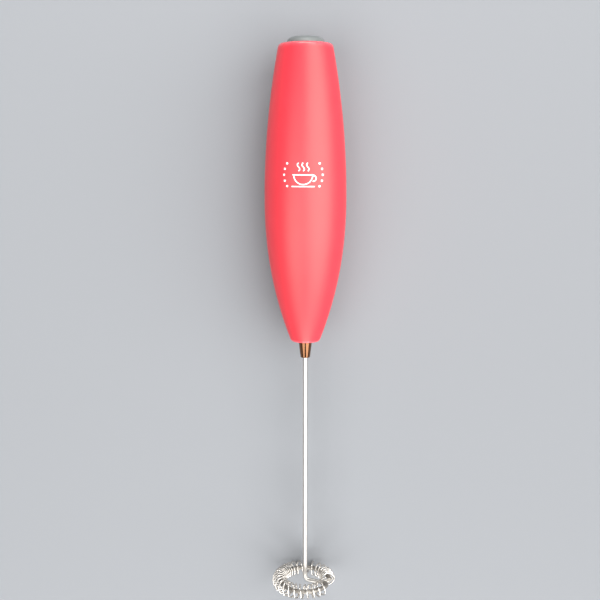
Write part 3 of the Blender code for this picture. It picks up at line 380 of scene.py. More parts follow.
def ferrite():
    """Sintered ferrite: nearly black, matt and finely pitted."""
    material, tree, shader, place = start_material("sintered_ferrite", "#3A3B3E", 0.7)
    mottle(tree, shader, place, 1.5 * MM, "#333437", "#424347", 6.0)
    grain(tree, shader, place, 0.2 * MM, 0.03 * MM)
    return material


def pvc(name, colour):
    """Extruded PVC insulation: smooth and lightly waxy."""
    material, tree, shader, place = start_material(name, colour, 0.38, Coat_Weight=0.15)
    uneven_gloss(tree, shader, place, 4 * MM, 0.3, 0.45)
    grain(tree, shader, place, 0.4 * MM, 0.008 * MM)
    return material


def silicone():
    """Moulded silicone: translucent grey with a dusty surface."""
    material, tree, shader, place = start_material("moulded_silicone_grey", "#8B8B8B", 0.6,
                                                   Subsurface_Weight=0.2, Subsurface_Scale=0.5 * MM)
    mottle(tree, shader, place, 2 * MM, "#828282", "#949494")
    return material


def pad_print_white():
    """Pad-printed ink: an opaque off-white film, a little uneven at its edges."""
    material, tree, shader, place = start_material("pad_print_ink_white", "#F7F1F0", 0.5)
    mottle(tree, shader, place, 0.8 * MM, "#F1E6E6", "#FBF8F7")
    return material


def battery_sleeve(name, nub_station, direction):
    """A shrink sleeve printed in two colours over a steel can: crimp, copper band, graphite body."""
    material, tree, shader, place = start_material(name, "#1F2A38", 0.3, Coat_Weight=0.4,
                                                   Coat_Roughness=0.12)
    parts = node(tree, "ShaderNodeSeparateXYZ", links={"Vector": place})
    shift = math_node(tree, "SUBTRACT", parts.outputs["Y"], BUTTON_END - nub_station)
    along = math_node(tree, "MULTIPLY", shift, -direction / CELL_LENGTH)
    bands = node(tree, "ShaderNodeValToRGB", links={"Fac": along})
    metal = node(tree, "ShaderNodeValToRGB", links={"Fac": along})
    layout = ((0.0, "#C9C9C6", 1.0), (0.045, "#B5703A", 0.55), (0.27, "#E8E2D6", 0.0),
              (0.285, "#1F2A38", 0.0), (0.955, "#E8E2D6", 0.0), (0.97, "#C9C9C6", 1.0))
    for ramp, column in ((bands.color_ramp, 1), (metal.color_ramp, 2)):
        ramp.interpolation = "CONSTANT"
        while len(ramp.elements) < len(layout):
            ramp.elements.new(0.5)
        for element, row in zip(ramp.elements, layout):
            element.position = row[0]
            element.color = linear(row[1]) if column == 1 else (row[2], row[2], row[2], 1.0)
    tree.links.new(bands.outputs["Color"], shader.inputs["Base Color"])
    tree.links.new(metal.outputs["Color"], shader.inputs["Metallic"])
    uneven_gloss(tree, shader, place, 5 * MM, 0.22, 0.34)
    return material


def floor_paint():
    """The floor: a plain pale sweep."""
    return start_material("studio_floor_pale", "#85878A", 0.8, Specular_IOR_Level=0.1)[0]


RED = soft_touch_red()
GREY = button_grey()
CONE = plated_cone()
STEEL = stainless_wire()
SPRING = spring_wire()
IVORY = chassis_white()
ZINC = zinc_steel()
NYLON = black_nylon()
BRASS = contact_brass()
COPPER = enamelled_copper()
FERRITE = ferrite()
RED_PVC = pvc("pvc_insulation_red", "#C4202A")
BLACK_PVC = pvc("pvc_insulation_black", "#17171A")
SILICONE = silicone()
INK = pad_print_white()


# ================================================================ making meshes
def spot(across, up, station):
    """A place in the row frame from across, up over the axis, and station."""
    return Vector((across, BUTTON_END - station, AXIS_HEIGHT + up))


def piece(name, form, surface, sharp=35):
    """An object from a bmesh, with its place in its mesh, smooth-shaded up to an angle."""
    mesh = bpy.data.meshes.new(name)
    bmesh.ops.remove_doubles(form, verts=form.verts, dist=0.0005 * MM)
    bmesh.ops.recalc_face_normals(form, faces=form.faces)
    form.to_mesh(mesh)
    form.free()
    mesh.shade_smooth()
    mesh.set_sharp_from_angle(angle=math.radians(sharp))
    made = bpy.data.objects.new(name, mesh)
    mesh.materials.append(surface)
    bpy.context.scene.collection.objects.link(made)
    return made


def plain_mesh(made, name, surface, sharp=35):
    """Turn an object with modifiers, or a curve, into a piece with a plain mesh."""
    bpy.context.view_layer.update()
    evaluated = made.evaluated_get(bpy.context.evaluated_depsgraph_get())
    mesh = bpy.data.meshes.new_from_object(evaluated)
    form = bmesh.new()
    form.from_mesh(mesh)
    bpy.data.objects.remove(made)
    bpy.data.meshes.remove(mesh)
    return piece(name, form, surface, sharp)


def hand_over(made, body, slot, *nodes):
    """Let a finished piece ride its body and stand for its CAD nodes."""
    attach(made, body)
    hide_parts(*nodes)
    return made


def turned(name, profile, surface, steps=ROUND_STEPS, across=0.0, sharp=35):
    """A closed solid turned about a line along the wand, from (radius, station) points."""
    form = bmesh.new()
    rings = []
    for radius, station in profile:
        if radius == 0:
            rings.append([form.verts.new(spot(across, 0, station))])
            continue
        angles = [2 * math.pi * step / steps for step in range(steps)]
        rings.append([form.verts.new(spot(across + radius * math.cos(a), radius * math.sin(a), station))
                      for a in angles])
    closed = profile[0][0] != 0
    for near, far in zip(rings, rings[1:] + (rings[:1] if closed else [])):
        for step in range(steps):
            corners = [near[step % len(near)], near[(step + 1) % len(near)],
                       far[(step + 1) % len(far)], far[step % len(far)]]
            unique = list(dict.fromkeys(corners))
            if len(unique) > 2:
                form.faces.new(unique)
    return piece(name, form, surface, sharp)


def arc(centre, radius, start, end, steps):
    """Points on a flat arc, both ends included."""
    turn = (end - start) / steps
    angles = [start + turn * step for step in range(steps + 1)]
    return [(centre[0] + radius * math.cos(a), centre[1] + radius * math.sin(a)) for a in angles]


def eased(profile, edge, steps=4):
    """The same outline with each corner rounded by up to an edge radius; the first and last stay."""
    made = [profile[0]]
    for before, here, after in zip(profile, profile[1:], profile[2:]):
        here_v = Vector(here)
        back, ahead = Vector(before) - here_v, Vector(after) - here_v
        reach = min(edge, back.length * 0.45, ahead.length * 0.45)
        start = here_v + back.normalized() * reach
        end = here_v + ahead.normalized() * reach
        for step in range(steps + 1):
            t = step / steps
            made.append(tuple(start * (1 - t) ** 2 + here_v * (2 * t * (1 - t)) + end * t ** 2))
    return made + [profile[-1]]


def wire(name, points, radius, surface):
    """A round wire along a dense route, with closed ends."""
    curve = bpy.data.curves.new(name + "_route", "CURVE")
    curve.dimensions = "3D"
    curve.bevel_depth = radius
    curve.bevel_resolution = WIRE_SIDES // 4
    curve.use_fill_caps = True
    spline = curve.splines.new("POLY")
    spline.points.add(len(points) - 1)
    for point, place in zip(spline.points, points):
        point.co = (*place, 1)
    made = bpy.data.objects.new(name + "_route", curve)
    bpy.context.scene.collection.objects.link(made)
    return plain_mesh(made, name, surface, 60)


def joined(made, operation, tools, name, surface):
    """Join other solids to a piece, or cut them from it."""
    for tool in tools:
        step = made.modifiers.new(tool.name, "BOOLEAN")
        step.operation = operation
        step.solver = "EXACT"
        step.object = tool
    result = plain_mesh(made, name, surface)
    for tool in tools:
        bpy.data.objects.remove(tool)
    return result


def softened(name, cad_node, surface, edge, sharp=30):
    """A copy of a CAD node with its edges rounded, as moulding or stamping leaves them."""
    form = bmesh.new()
    form.from_mesh(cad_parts[cad_node].data)
    bmesh.ops.remove_doubles(form, verts=form.verts, dist=0.002 * MM)
    bmesh.ops.dissolve_limit(form, angle_limit=math.radians(1), verts=form.verts, edges=form.edges)
    corners = [line for line in form.edges
               if len(line.link_faces) == 2 and line.calc_face_angle() > math.radians(sharp)]
    bmesh.ops.bevel(form, geom=corners, offset=edge, segments=2, profile=0.6, affect="EDGES",
                    clamp_overlap=True)
    return piece(name, form, surface, 40)


# ================================================================ handle shells
def handle_radius(station):
    """The handle's outer radius, widest at the belly and curving in to both ends."""
    if station < BELLY_STATION:
        share = (BELLY_STATION - station) / BELLY_STATION
        return HANDLE_RADIUS - (HANDLE_RADIUS - TOP_RADIUS) * share ** TOP_POWER
    share = (station - BELLY_STATION) / (HANDLE_LENGTH - BELLY_STATION)
    return HANDLE_RADIUS - (HANDLE_RADIUS - NOSE_RADIUS) * share ** NOSE_POWER


def rounded_end(station, edge, direction):
    """The fillet between the handle's side and its flat end face at a station."""
    inner = station - direction * edge
    slope = math.atan2(abs(handle_radius(station) - handle_radius(inner)), edge)
    meet = inner + direction * edge * math.sin(slope)
    centre = handle_radius(meet) - edge * math.cos(slope)
    angles = [slope + (math.pi / 2 - slope) * step / EDGE_STEPS for step in range(EDGE_STEPS + 1)]
    return [(centre + edge * math.cos(a), inner + direction * edge * math.sin(a)) for a in angles]


def outline(inset, start, end, steps=BODY_STEPS):
    """Points along the handle's form, set in by a wall, between two stations."""
    stations = [start + (end - start) * step / steps for step in range(steps + 1)]
    return [(handle_radius(station) - inset, station) for station in stations]


def half_shell(name, side):
    """One half of the casing, closed along the parting line; side is +1 on top and -1 below."""
    top_fillet = rounded_end(0, TOP_EDGE, -1)
    nose_fillet = rounded_end(HANDLE_LENGTH, NOSE_EDGE, 1)
    outside = top_fillet[::-1] + outline(0, top_fillet[0][1], nose_fillet[0][1])[1:-1] + nose_fillet
    inside = outline(WALL, HANDLE_LENGTH - END_WALL, END_WALL)
    top_lip = arc((BUTTON_HOLE + HOLE_EDGE, HOLE_EDGE), HOLE_EDGE, math.pi, math.pi * 1.5, LIP_STEPS)
    nose_lip = arc((NOSE_HOLE + HOLE_EDGE, HANDLE_LENGTH - HOLE_EDGE), HOLE_EDGE,
                   math.pi / 2, math.pi, LIP_STEPS)
    profile = top_lip + outside + nose_lip + [(NOSE_HOLE, HANDLE_LENGTH - END_WALL)]
    profile += inside + [(BUTTON_HOLE, END_WALL)]
    form = bmesh.new()
    rows = []
    for radius, station in profile:
        start = math.asin(PARTING_GAP / 2 / radius)
        row = []
        for step in range(HALF_STEPS + 1):
            angle = start + (math.pi - 2 * start) * step / HALF_STEPS
            across, up = radius * math.cos(angle), side * radius * math.sin(angle)
            row.append(form.verts.new(spot(across, up, station)))
        rows.append(row)
    for near, far in zip(rows, rows[1:] + rows[:1]):
        for step in range(HALF_STEPS):
            form.faces.new([near[step], near[step + 1], far[step + 1], far[step]])
    seam_edges = []
    for end in (0, HALF_STEPS):
        chain = [row[end] for row in rows]
        form.faces.new(chain)
        seen = chain[len(top_lip):len(top_lip) + len(outside)]
        seam_edges += [form.edges.get(pair) for pair in zip(seen, seen[1:])]
    bmesh.ops.recalc_face_normals(form, faces=form.faces)
    bmesh.ops.bevel(form, geom=seam_edges, offset=PARTING_EDGE, segments=3, profile=0.5, affect="EDGES")
    return piece(name, form, RED)


def cover_rib(station):
    """One cross rib inside the cover, from the wall down to its straight edge over the cells."""
    radius = min(handle_radius(station), handle_radius(station + RIB_THICKNESS)) - WALL / 2
    side = math.acos(RIB_HALF_WIDTH / radius)
    top = arc((0, 0), radius, side, math.pi - side, RIB_STEPS)
    section = top + [(-RIB_HALF_WIDTH, RIB_BOTTOM), (RIB_HALF_WIDTH, RIB_BOTTOM)]
    form = bmesh.new()
    ends = [[form.verts.new(spot(x, y, z)) for x, y in section]
            for z in (station, station + RIB_THICKNESS)]
    form.faces.new(ends[0])
    form.faces.new(ends[1][::-1])
    for step in range(len(section)):
        after = (step + 1) % len(section)
        form.faces.new([ends[0][step], ends[0][after], ends[1][after], ends[1][step]])
    return piece("cover_rib", form, RED)


def upright(name, across, station, radius, top, bottom):
    """An upright round solid at one place on the wand."""
    form = bmesh.new()
    bmesh.ops.create_cone(form, cap_ends=True, segments=POST_STEPS, radius1=radius, radius2=radius,
                          depth=top - bottom,
                          matrix=Matrix.Translation(spot(across, (top + bottom) / 2, station)))
    return piece(name, form, RED)


def battery_cover():
    """The lift-off half with its two ribs."""
    shell = half_shell("cover_plain", 1)
    made = joined(shell, "UNION", [cover_rib(station) for station in RIB_STATIONS], "cover_shell", RED)
    return hand_over(made, "cover", "soft_touch_red", "battery_cover")


def rear_shell():
    """The fixed half with its two screw posts."""
    shell = half_shell("rear_plain", -1)
    sides = (-POST_OFFSET, POST_OFFSET)
    posts = []
    for across in sides:
        reach = math.sqrt(handle_radius(POST_STATION) ** 2 - (abs(across) + POST_RADIUS) ** 2)
        posts.append(upright("post", across, POST_STATION, POST_RADIUS, POST_TOP, -reach + WALL / 2))
    shell = joined(shell, "UNION", posts, "rear_posts", RED)
    holes = [upright("post_hole", across, POST_STATION, POST_HOLE_RADIUS, POST_TOP + WALL,
                     POST_TOP - POST_HOLE_DEPTH) for across in sides]
    made = joined(shell, "DIFFERENCE", holes, "rear_casing", RED)
    return hand_over(made, "handle", "soft_touch_red", "rear_shell")


# ================================================================ printed mark
MARK_STATION = 52.6 * MM
MARK_INK = 0.02 * MM
MARK_LINE = 0.45 * MM
MARK_STEP = 0.4 * MM                # longest straight run of a stroke, so that it hugs the curve

# The mark's drawing, in mm from its middle: across, and down towards the whisk.
CUP_RADIUS = 3.9
CUP_RIM = 0.6
CUP_RIM_HALF = 4.5
CUP_STEPS = 24
EAR_CENTRE = (4.2, 2.0)
EAR_RADIUS = 1.15
EAR_STEPS = 12
SAUCER_HALF = 4.8
SAUCER_DROP = 5.3
WISPS = (-1.9, 0.0, 1.9)
WISP_START = -0.9
WISP_RISE = 0.28                    # for each of its steps
WISP_SWAY = 0.5
WISP_STEPS = 12
DOTS_REACH = 8.2
DOTS_SPREAD = 17                    # degrees between two dots
DOTS_EACH_SIDE = 5
DOT_RADIUS = 0.26
DOT_STEPS = 12


def on_cover(across, station, height):
    """A place over the cover's skin, from a distance round it and a station."""
    radius = handle_radius(station) + height
    angle = across / handle_radius(station)
    return spot(radius * math.sin(angle), radius * math.cos(angle), station)


def ink_line(form, points, closed=False):
    """One printed stroke through flat (across, station) points in mm, as a thin closed film."""
    corners = [Vector((x * MM, MARK_STATION + y * MM)) for x, y in points]
    if closed:
        corners.append(corners[0])
    path = [corners[0]]
    for start, end in zip(corners, corners[1:]):
        steps = math.ceil((end - start).length / MARK_STEP)
        path += [start.lerp(end, step / steps) for step in range(1, steps + 1)]
    if closed:
        path.pop()
    last = len(path) - 1
    rows = []
    for index, point in enumerate(path):
        before = path[index - 1] if closed or index else point
        after = path[(index + 1) % len(path)] if closed or index < last else point
        along = (after - before).normalized() * MARK_LINE / 2
        left, right = point + Vector((-along.y, along.x)), point - Vector((-along.y, along.x))
        rows.append([form.verts.new(on_cover(*flat, height)) for flat, height in
                     ((left, MARK_INK), (right, MARK_INK), (right, -MARK_INK), (left, -MARK_INK))])
    for near, far in zip(rows, rows[1:] + (rows[:1] if closed else [])):
        for side in range(4):
            form.faces.new([near[side], near[(side + 1) % 4], far[(side + 1) % 4], far[side]])
    if not closed:
        form.faces.new(rows[0][::-1])
        form.faces.new(rows[-1])


def cover_mark():
    """A plain wordless mark: a cup on a saucer with three wisps of steam, between two dotted arcs."""
    form = bmesh.new()
    ink_line(form, arc((0, CUP_RIM), CUP_RADIUS, 0, math.pi, CUP_STEPS))
    ink_line(form, [(-CUP_RIM_HALF, CUP_RIM), (CUP_RIM_HALF, CUP_RIM)])
    ink_line(form, arc(EAR_CENTRE, EAR_RADIUS, -math.pi * 0.55, math.pi * 0.6, EAR_STEPS))
    ink_line(form, [(-SAUCER_HALF, SAUCER_DROP), (SAUCER_HALF, SAUCER_DROP)])
    for across in WISPS:
        ink_line(form, [(across + WISP_SWAY * math.sin(step * math.tau / WISP_STEPS),
                         WISP_START - WISP_RISE * step) for step in range(WISP_STEPS + 1)])
    for side in (-1, 1):
        for step in range(DOTS_EACH_SIDE):
            angle = math.radians(DOTS_SPREAD * (step - (DOTS_EACH_SIDE - 1) / 2))
            centre = (side * DOTS_REACH * math.cos(angle), CUP_RIM + DOTS_REACH * math.sin(angle))
            last = math.tau * (DOT_STEPS - 1) / DOT_STEPS
            ink_line(form, arc(centre, DOT_RADIUS, 0, last, DOT_STEPS - 1), closed=True)
    made = piece("cover_mark", form, INK)
    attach(made, "cover")
    return made


# ================================================================ button and cone
def power_button():
    """The push button: dished face, rolled shoulder, retaining flange, skirt and stem."""
    dish = [(BUTTON_FACE_RADIUS * share, -BUTTON_RISE + BUTTON_DISH * (1 - share ** 2))
            for share in [step / DISH_STEPS for step in range(DISH_STEPS)]]
    shoulder = []
    for step in range(SHOULDER_STEPS + 1):
        share = step / SHOULDER_STEPS
        height = (1 - share ** BUTTON_SHOULDER_POWER) ** (1 / BUTTON_SHOULDER_POWER)
        radius = BUTTON_FACE_RADIUS + (BUTTON_RADIUS - BUTTON_FACE_RADIUS) * share
        shoulder.append((radius, -BUTTON_RISE * height))
    inside = [(BUTTON_RADIUS, BUTTON_FLANGE_START), (BUTTON_FLANGE_RADIUS, BUTTON_FLANGE_START),
              (BUTTON_FLANGE_RADIUS, BUTTON_FLANGE_END), (BUTTON_RADIUS, BUTTON_FLANGE_END),
              (BUTTON_RADIUS, BUTTON_SKIRT), (BUTTON_HOLLOW_RADIUS, BUTTON_SKIRT),
              (BUTTON_HOLLOW_RADIUS, BUTTON_ROOF), (BUTTON_STEM_RADIUS, BUTTON_ROOF),
              (BUTTON_STEM_RADIUS, BUTTON_STEM_END), (0, BUTTON_STEM_END)]
    made = turned("button_cap", dish + shoulder + inside, GREY, sharp=50)
    return hand_over(made, "button", "button_grey", "power_button")


def nose_cone():
    """The plated cone: a bored plug in the nose with a taper down to the rod."""
    start = BUTTON_END - CONE_HIGH.y
    tip = BUTTON_END - CONE_LOW.y
    shoulder = HANDLE_LENGTH + CONE_SHOULDER
    middle = (start + tip) / 2
    profile = [(CONE_BORE, middle), (CONE_BORE, start), (CONE_SPIGOT_RADIUS, start),
               (CONE_SPIGOT_RADIUS, shoulder), (CONE_TIP_RADIUS, tip), (CONE_BORE, tip),
               (CONE_BORE, middle + MM)]
    made = turned("cone_plated", eased(profile, CONE_EDGE), CONE, sharp=60)
    return hand_over(made, "handle", "plated_cone", "nose_cone")


# ================================================================ whisk
def on_arm(u, v, station):
    """A place in the ring's plane: u along the arm, v beside it."""
    c, s = math.cos(ARM_ANGLE), math.sin(ARM_ANGLE)
    return spot(u * c - v * s, u * s + v * c, station)


def whisk_rod():
    """One wire: down the axis, out along the arm, and round the ring."""
    start = BUTTON_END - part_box("whisk_rod")[1].y
    route = [on_arm(0, 0, start), on_arm(0, 0, (start + RING_STATION) / 2)]
    route += [on_arm(u, 0, station) for u, station in
              arc((ROD_BEND, RING_STATION - ROD_BEND), ROD_BEND, math.pi, math.pi / 2, BEND_STEPS)]
    foot = math.sqrt((RING_RADIUS - RING_BEND) ** 2 - RING_BEND ** 2)
    meet = math.atan2(RING_BEND, foot)
    route += [on_arm(u, v, RING_STATION) for u, v in
              arc((foot, RING_BEND), RING_BEND, -math.pi / 2, meet, BEND_STEPS)]
    circle = arc((0, 0), RING_RADIUS, meet, 2 * math.pi - RING_OPENING, RING_STEPS)
    route += [on_arm(u, v, RING_STATION) for u, v in circle[1:]]
    made = wire("whisk_wire", route, ROD_RADIUS, STEEL)
    return hand_over(made, "whisk", "stainless_wire", "whisk_rod")


def start_tree(name, sizes):
    """A geometry tree with named inputs: floats with their values, and a surface."""
    tree = bpy.data.node_groups.new(name, "GeometryNodeTree")
    tree.interface.new_socket("Geometry", in_out="OUTPUT", socket_type="NodeSocketGeometry")
    for label, value in sizes.items():
        kind = "NodeSocketInt" if isinstance(value, int) else "NodeSocketFloat"
        tree.interface.new_socket(label, in_out="INPUT", socket_type=kind).default_value = value
    tree.interface.new_socket("Surface", in_out="INPUT", socket_type="NodeSocketMaterial")
    return tree, node(tree, "NodeGroupInput").outputs


def finish_wire(tree, inputs, line):
    """Give a route its round wire, and end the tree."""
    section = node(tree, "GeometryNodeCurvePrimitiveCircle",
                   links={"Resolution": inputs["Wire sides"], "Radius": inputs["Wire radius"]})
    swept = node(tree, "GeometryNodeCurveToMesh", {"Fill Caps": True},
                 {"Curve": line, "Profile Curve": section.outputs["Curve"]})
    real = node(tree, "GeometryNodeRealizeInstances", links={"Geometry": swept.outputs["Mesh"]})
    painted = node(tree, "GeometryNodeSetMaterial",
                   links={"Geometry": real.outputs["Geometry"], "Material": inputs["Surface"]})
    node(tree, "NodeGroupOutput", links={"Geometry": painted.outputs["Geometry"]})


def route_line(tree, inputs):
    """A straight run of points to bend, and its share from 0 to 1 along it."""
    line = node(tree, "GeometryNodeCurvePrimitiveLine")
    many = node(tree, "GeometryNodeResampleCurve",
                links={"Curve": line.outputs["Curve"], "Count": inputs["Points"]})
    share = node(tree, "GeometryNodeSplineParameter").outputs["Factor"]
    return many.outputs["Curve"], share


def bent(tree, line, x, y, z):
    """Move the run's points to the places that three fields give."""
    place = node(tree, "ShaderNodeCombineXYZ", links={0: x, 1: y, 2: z})
    return node(tree, "GeometryNodeSetPosition",
                links={"Geometry": line, "Position": place.outputs["Vector"]}).outputs["Geometry"]


def ring_coil_tree(stretches):
    """A spring wound round a ring. The stretches say how its turns are spread."""
    turns = sum(count for _, count in stretches)
    tree, inputs = start_tree("ring_coil", {
        "Ring radius": RING_RADIUS, "Coil radius": COIL_RADIUS - COIL_WIRE / 2,
        "Wire radius": COIL_WIRE / 2, "Wire sides": 12, "Points": 901, "Turns": turns,
        "Start angle": COIL_START, "End angle": math.radians(stretches[-1][0])})
    line, share = route_line(tree, inputs)
    spread = node(tree, "ShaderNodeFloatCurve", links={"Value": share})
    points = spread.mapping.curves[0].points
    reached, start, end = 0.0, math.degrees(COIL_START), stretches[-1][0]
    for angle, count in stretches[:-1]:
        reached += count
        points.new(reached / turns, (angle - start) / (end - start))
    for point in points:
        point.handle_type = "AUTO_CLAMPED"
    spread.mapping.update()
    sweep = math_node(tree, "SUBTRACT", inputs["End angle"], inputs["Start angle"])
    around = math_node(tree, "MULTIPLY", spread.outputs["Value"], sweep)
    around = math_node(tree, "ADD", around, inputs["Start angle"])
    turn = math_node(tree, "MULTIPLY", math_node(tree, "MULTIPLY", share, inputs["Turns"]), math.tau)
    turn = math_node(tree, "ADD", turn, math.pi / 2)
    out = math_node(tree, "MULTIPLY", math_node(tree, "COSINE", turn), inputs["Coil radius"])
    out = math_node(tree, "ADD", out, inputs["Ring radius"])
    x = math_node(tree, "MULTIPLY", out, math_node(tree, "COSINE", around))
    y = math_node(tree, "MULTIPLY", out, math_node(tree, "SINE", around))
    rise = math_node(tree, "MULTIPLY", math_node(tree, "SINE", turn), inputs["Coil radius"])
    z = math_node(tree, "MULTIPLY", rise, -1.0)
    finish_wire(tree, inputs, bent(tree, line, x, y, z))
    return tree


def spring_tree():
    """A compression spring that may narrow, with close turns at both ends."""
    tree, inputs = start_tree("compression_spring", {
        "Start radius": 1.0, "End radius": 1.0, "Length": 1.0, "Wire radius": 0.1, "Wire sides": 10,
        "Points": 181, "Turns": 3.0})
    line, share = route_line(tree, inputs)
    turn = math_node(tree, "MULTIPLY", math_node(tree, "MULTIPLY", share, inputs["Turns"]), math.tau)
    change = math_node(tree, "SUBTRACT", inputs["End radius"], inputs["Start radius"])
    radius = math_node(tree, "ADD", math_node(tree, "MULTIPLY", change, share), inputs["Start radius"])
    x = math_node(tree, "MULTIPLY", radius, math_node(tree, "COSINE", turn))
    y = math_node(tree, "MULTIPLY", radius, math_node(tree, "SINE", turn))
    eased_share = node(tree, "ShaderNodeMapRange", links={"Value": share},
                       interpolation_type="SMOOTHSTEP").outputs["Result"]
    z = math_node(tree, "MULTIPLY", eased_share, inputs["Length"])
    finish_wire(tree, inputs, bent(tree, line, x, y, z))
    return tree


def grown(name, tree, values, surface, placing):
    """Run a geometry tree with its inputs set, and keep the plain mesh where it belongs."""
    mesh = bpy.data.meshes.new(name + "_seed")
    made = bpy.data.objects.new(name + "_seed", mesh)
    bpy.context.scene.collection.objects.link(made)
    step = made.modifiers.new(name, "NODES")
    step.node_group = tree
    for item in tree.interface.items_tree:
        if item.in_out != "INPUT":
            continue
        if item.name == "Surface":
            step[item.identifier] = surface
        elif item.name in values:
            step[item.identifier] = values[item.name]
    result = plain_mesh(made, name, surface, 60)
    result.data.transform(placing)
    return result


def along_wand(across, station, turn=0.0):
    """The placing of a shape made round +Z, so that it stands on the wand with +Z to the whisk."""
    laid = Matrix.Rotation(math.pi / 2, 4, "X") @ Matrix.Rotation(turn, 4, "Z")
    return Matrix.Translation(spot(across, 0, station)) @ laid


def whisk_coil():
    """The whisk's coil, slid together on one side of the ring as it is in use."""
    tree = ring_coil_tree(COIL_STRETCHES)
    made = grown("whisk_spring", tree, {}, SPRING, along_wand(COIL_ASIDE, RING_STATION, ARM_ANGLE))
    return hand_over(made, "whisk", "stainless_wire", "whisk_coil")


# ================================================================ inner pieces
def batteries():
    """The two cells with their nubs, crimped rims and printed sleeves."""
    flat_end = CELL_RADIUS - CELL_EDGE
    flat = [(0, 0), (NUB_RADIUS, 0), (NUB_RADIUS, NUB_RISE * 0.8), (NUB_RADIUS + 0.3 * MM, NUB_RISE),
            (flat_end - CELL_EDGE, NUB_RISE), (flat_end - 0.6 * CELL_EDGE, NUB_RISE - 0.15 * MM),
            (flat_end, NUB_RISE), (CELL_RADIUS, NUB_RISE + CELL_EDGE),
            (CELL_RADIUS, CELL_LENGTH - CELL_EDGE), (flat_end, CELL_LENGTH),
            (flat_end - 0.8 * CELL_EDGE, CELL_LENGTH),
            (flat_end - 1.2 * CELL_EDGE, CELL_LENGTH - CELL_CRIMP), (0, CELL_LENGTH - CELL_CRIMP)]
    for label, toward in (("a", 1), ("b", -1)):
        low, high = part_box("battery_" + label)
        nub_station = BUTTON_END - (high.y if toward > 0 else low.y)
        sleeve = battery_sleeve("shrink_sleeve_" + label, nub_station, toward)
        placed = [(r, nub_station + toward * z) for r, z in eased(flat, CELL_ROUNDING)]
        made = turned("cell_" + label, placed, sleeve, CELL_STEPS, across=(low.x + high.x) / 2, sharp=50)
        hand_over(made, "handle", "battery_sleeve", "battery_" + label)


def springs():
    """The two contact springs and the switch's return spring."""
    tree = spring_tree()
    for name, radii in (("contact_spring_top", (CONTACT_WIDE, CONTACT_NARROW)),
                        ("contact_spring_bottom", (CONTACT_NARROW, CONTACT_WIDE))):
        low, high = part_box(name)
        values = {"Start radius": radii[0], "End radius": radii[1], "Turns": CONTACT_TURNS,
                  "Length": high.y - low.y - 2 * CONTACT_WIRE, "Wire radius": CONTACT_WIRE}
        placing = along_wand((low.x + high.x) / 2, BUTTON_END - high.y + CONTACT_WIRE)
        made = grown(name + "_wire", tree, values, SPRING, placing)
        hand_over(made, "handle", "stainless_wire", name)
    low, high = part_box("switch_spring")
    values = {"Start radius": RETURN_RADIUS, "End radius": RETURN_RADIUS, "Turns": RETURN_TURNS,
              "Length": high.y - low.y - 2 * RETURN_WIRE, "Wire radius": RETURN_WIRE}
    placing = along_wand(0, BUTTON_END - high.y + RETURN_WIRE)
    made = grown("switch_spring_wire", tree, values, SPRING, placing)
    hand_over(made, "handle", "stainless_wire", "switch_spring")
    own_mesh(made)


def inner_pieces():
    """Everything inside that keeps its CAD shape, with its edges eased or its own finish."""
    for name, surface, body, slot_name, edge in (
            ("chassis", IVORY, "handle", "chassis_white", 0.16 * MM),
            ("switch_body", NYLON, "handle", "black_nylon", 0.2 * MM),
            ("switch_plunger", IVORY, "button", "chassis_white", 0.12 * MM),
            ("contact_positive", BRASS, "handle", "contact_brass", 0.08 * MM),
            ("contact_negative", BRASS, "handle", "contact_brass", 0.08 * MM),
            ("contact_bridge", BRASS, "handle", "contact_brass", 0.08 * MM),
            ("motor_can", ZINC, "handle", "zinc_steel", 0.2 * MM),
            ("motor_end_cap", IVORY, "handle", "chassis_white", 0.15 * MM),
            ("chassis_screw_left", ZINC, "handle", "zinc_steel", 0.08 * MM),
            ("chassis_screw_right", ZINC, "handle", "zinc_steel", 0.08 * MM),
            ("shaft_coupler", BRASS, "whisk", "contact_brass", 0.12 * MM)):
        hand_over(softened(name + "_eased", name, surface, edge), body, slot_name, name)
    carried = {
        BRASS: ("switch_terminal_upper", "switch_terminal_lower", "motor_terminal_left",
                "motor_terminal_right", "motor_brush_upper", "motor_brush_lower", "motor_bush_front",
                "motor_bush_rear"),
        FERRITE: ("motor_magnet_left", "motor_magnet_right"),
        ZINC: ("motor_rotor",),
        COPPER: ("motor_winding_1", "motor_winding_2", "motor_winding_3", "motor_commutator"),
        STEEL: ("motor_shaft",),
        SILICONE: ("shaft_seal",),
        RED_PVC: ("lead_link", "lead_red"),
        BLACK_PVC: ("lead_black",)}
    for surface, names in carried.items():
        for name in names:
            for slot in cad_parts[name].material_slots:
                slot.material = surface


# ================================================================ studio
CAMERA_HEIGHT = 360.6 * MM          # over the wand's axis
CAMERA_STATION = 41.3 * MM
CAMERA_TILT = math.radians(10.48)   # off straight down, towards the whisk
CAMERA_ROUND = math.radians(3.5)    # round the wand, to the right of the mark
CAMERA_ASIDE = -2.34 * MM
CAMERA_LENS = 50.25
FLOOR_HALF = 8.0
FLOOR_GAP = 0.03 * MM
AIR_LOW = 0.55
AIR_HIGH = 0.14
STRIP_SIZE = (0.50, 0.09)           # the soft strips beyond the two ends of the wand


def camera():
    """A camera over the handle that looks down and along to the whisk."""
    data = bpy.data.cameras.new("camera")
    data.lens = CAMERA_LENS
    data.sensor_width = 36
    data.clip_start = 0.01
    made = bpy.data.objects.new("camera", data)
    bpy.context.scene.collection.objects.link(made)
    turn = Matrix.Rotation(CAMERA_ROUND, 4, "Y")
    away = turn @ Vector((CAMERA_ASIDE, 0, CAMERA_HEIGHT))
    facing = turn @ Matrix.Rotation(-CAMERA_TILT, 4, "X")
    made.matrix_world = Matrix.Translation(spot(0, 0, CAMERA_STATION) + away) @ facing
    bpy.context.scene.camera = made


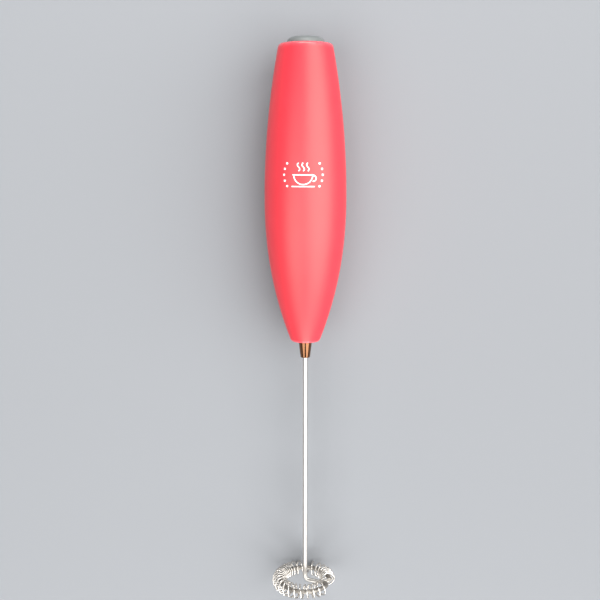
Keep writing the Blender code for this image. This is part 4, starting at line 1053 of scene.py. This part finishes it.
def soft_light(name, place, aim, power):
    """A soft strip light that faces a point."""
    data = bpy.data.lights.new(name, "AREA")
    data.shape = "RECTANGLE"
    data.size, data.size_y = STRIP_SIZE
    data.energy = power
    made = bpy.data.objects.new(name, data)
    made.location = place
    made.rotation_euler = (Vector(aim) - Vector(place)).to_track_quat("-Z", "Y").to_euler()
    bpy.context.scene.collection.objects.link(made)


def broad_light(name, way, angle, strength):
    """An even, far-off soft light from one way, as wide as its angle in degrees."""
    data = bpy.data.lights.new(name, "SUN")
    data.angle = math.radians(angle)
    data.energy = strength
    made = bpy.data.objects.new(name, data)
    made.rotation_euler = Vector(way).to_track_quat("Z", "Y").to_euler()
    bpy.context.scene.collection.objects.link(made)


def studio_air():
    """Dim air overhead, brighter low down, so that bright metal shows dark and light streaks."""
    world = bpy.data.worlds.new("studio_air")
    bpy.context.scene.world = world
    world.use_nodes = True
    tree = world.node_tree
    way = node(tree, "ShaderNodeSeparateXYZ",
               links={"Vector": node(tree, "ShaderNodeTexCoord").outputs["Generated"]})
    glow = node(tree, "ShaderNodeMapRange", {"From Min": 0.12, "From Max": 0.55, "To Min": AIR_LOW,
                                             "To Max": AIR_HIGH}, {"Value": way.outputs["Z"]})
    background = tree.nodes["Background"]
    background.inputs["Color"].default_value = linear("#F6F7FA")
    tree.links.new(glow.outputs["Result"], background.inputs["Strength"])


def studio():
    """A pale floor that the belly and the ring both touch, and soft light from all round."""
    form = bmesh.new()
    bmesh.ops.create_grid(form, x_segments=1, y_segments=1, size=FLOOR_HALF)
    floor = piece("floor", form, floor_paint())
    belly = spot(0, -HANDLE_RADIUS, BELLY_STATION)
    ring = Vector((0, BUTTON_END - RING_STATION, RING_LOWEST))
    slope = math.atan2(ring.z - belly.z, belly.y - ring.y)
    under = belly - Vector((0, 0, FLOOR_GAP))
    floor.data.transform(Matrix.Translation(under) @ Matrix.Rotation(-slope, 4, "X"))
    studio_air()
    broad_light("key", (0.66, 0.0, 0.75), 76, 5.1)
    broad_light("left", (-0.46, -0.25, 0.85), 50, 2.0)
    soft_light("head", (0.06, 0.70, 0.30), (0.0, 0.12, 0.02), 3.6)
    soft_light("foot", (0.05, -0.70, 0.34), (0.0, 0.0, 0.02), 3.4)
    bpy.context.scene.view_settings.view_transform = "Standard"


# ================================================================ the frother
camera()
studio()
rear_shell()
battery_cover()
cover_mark()
power_button()
nose_cone()
whisk_rod()
whisk_coil()
batteries()
springs()
inner_pieces()

bpy.context.view_layer.update()
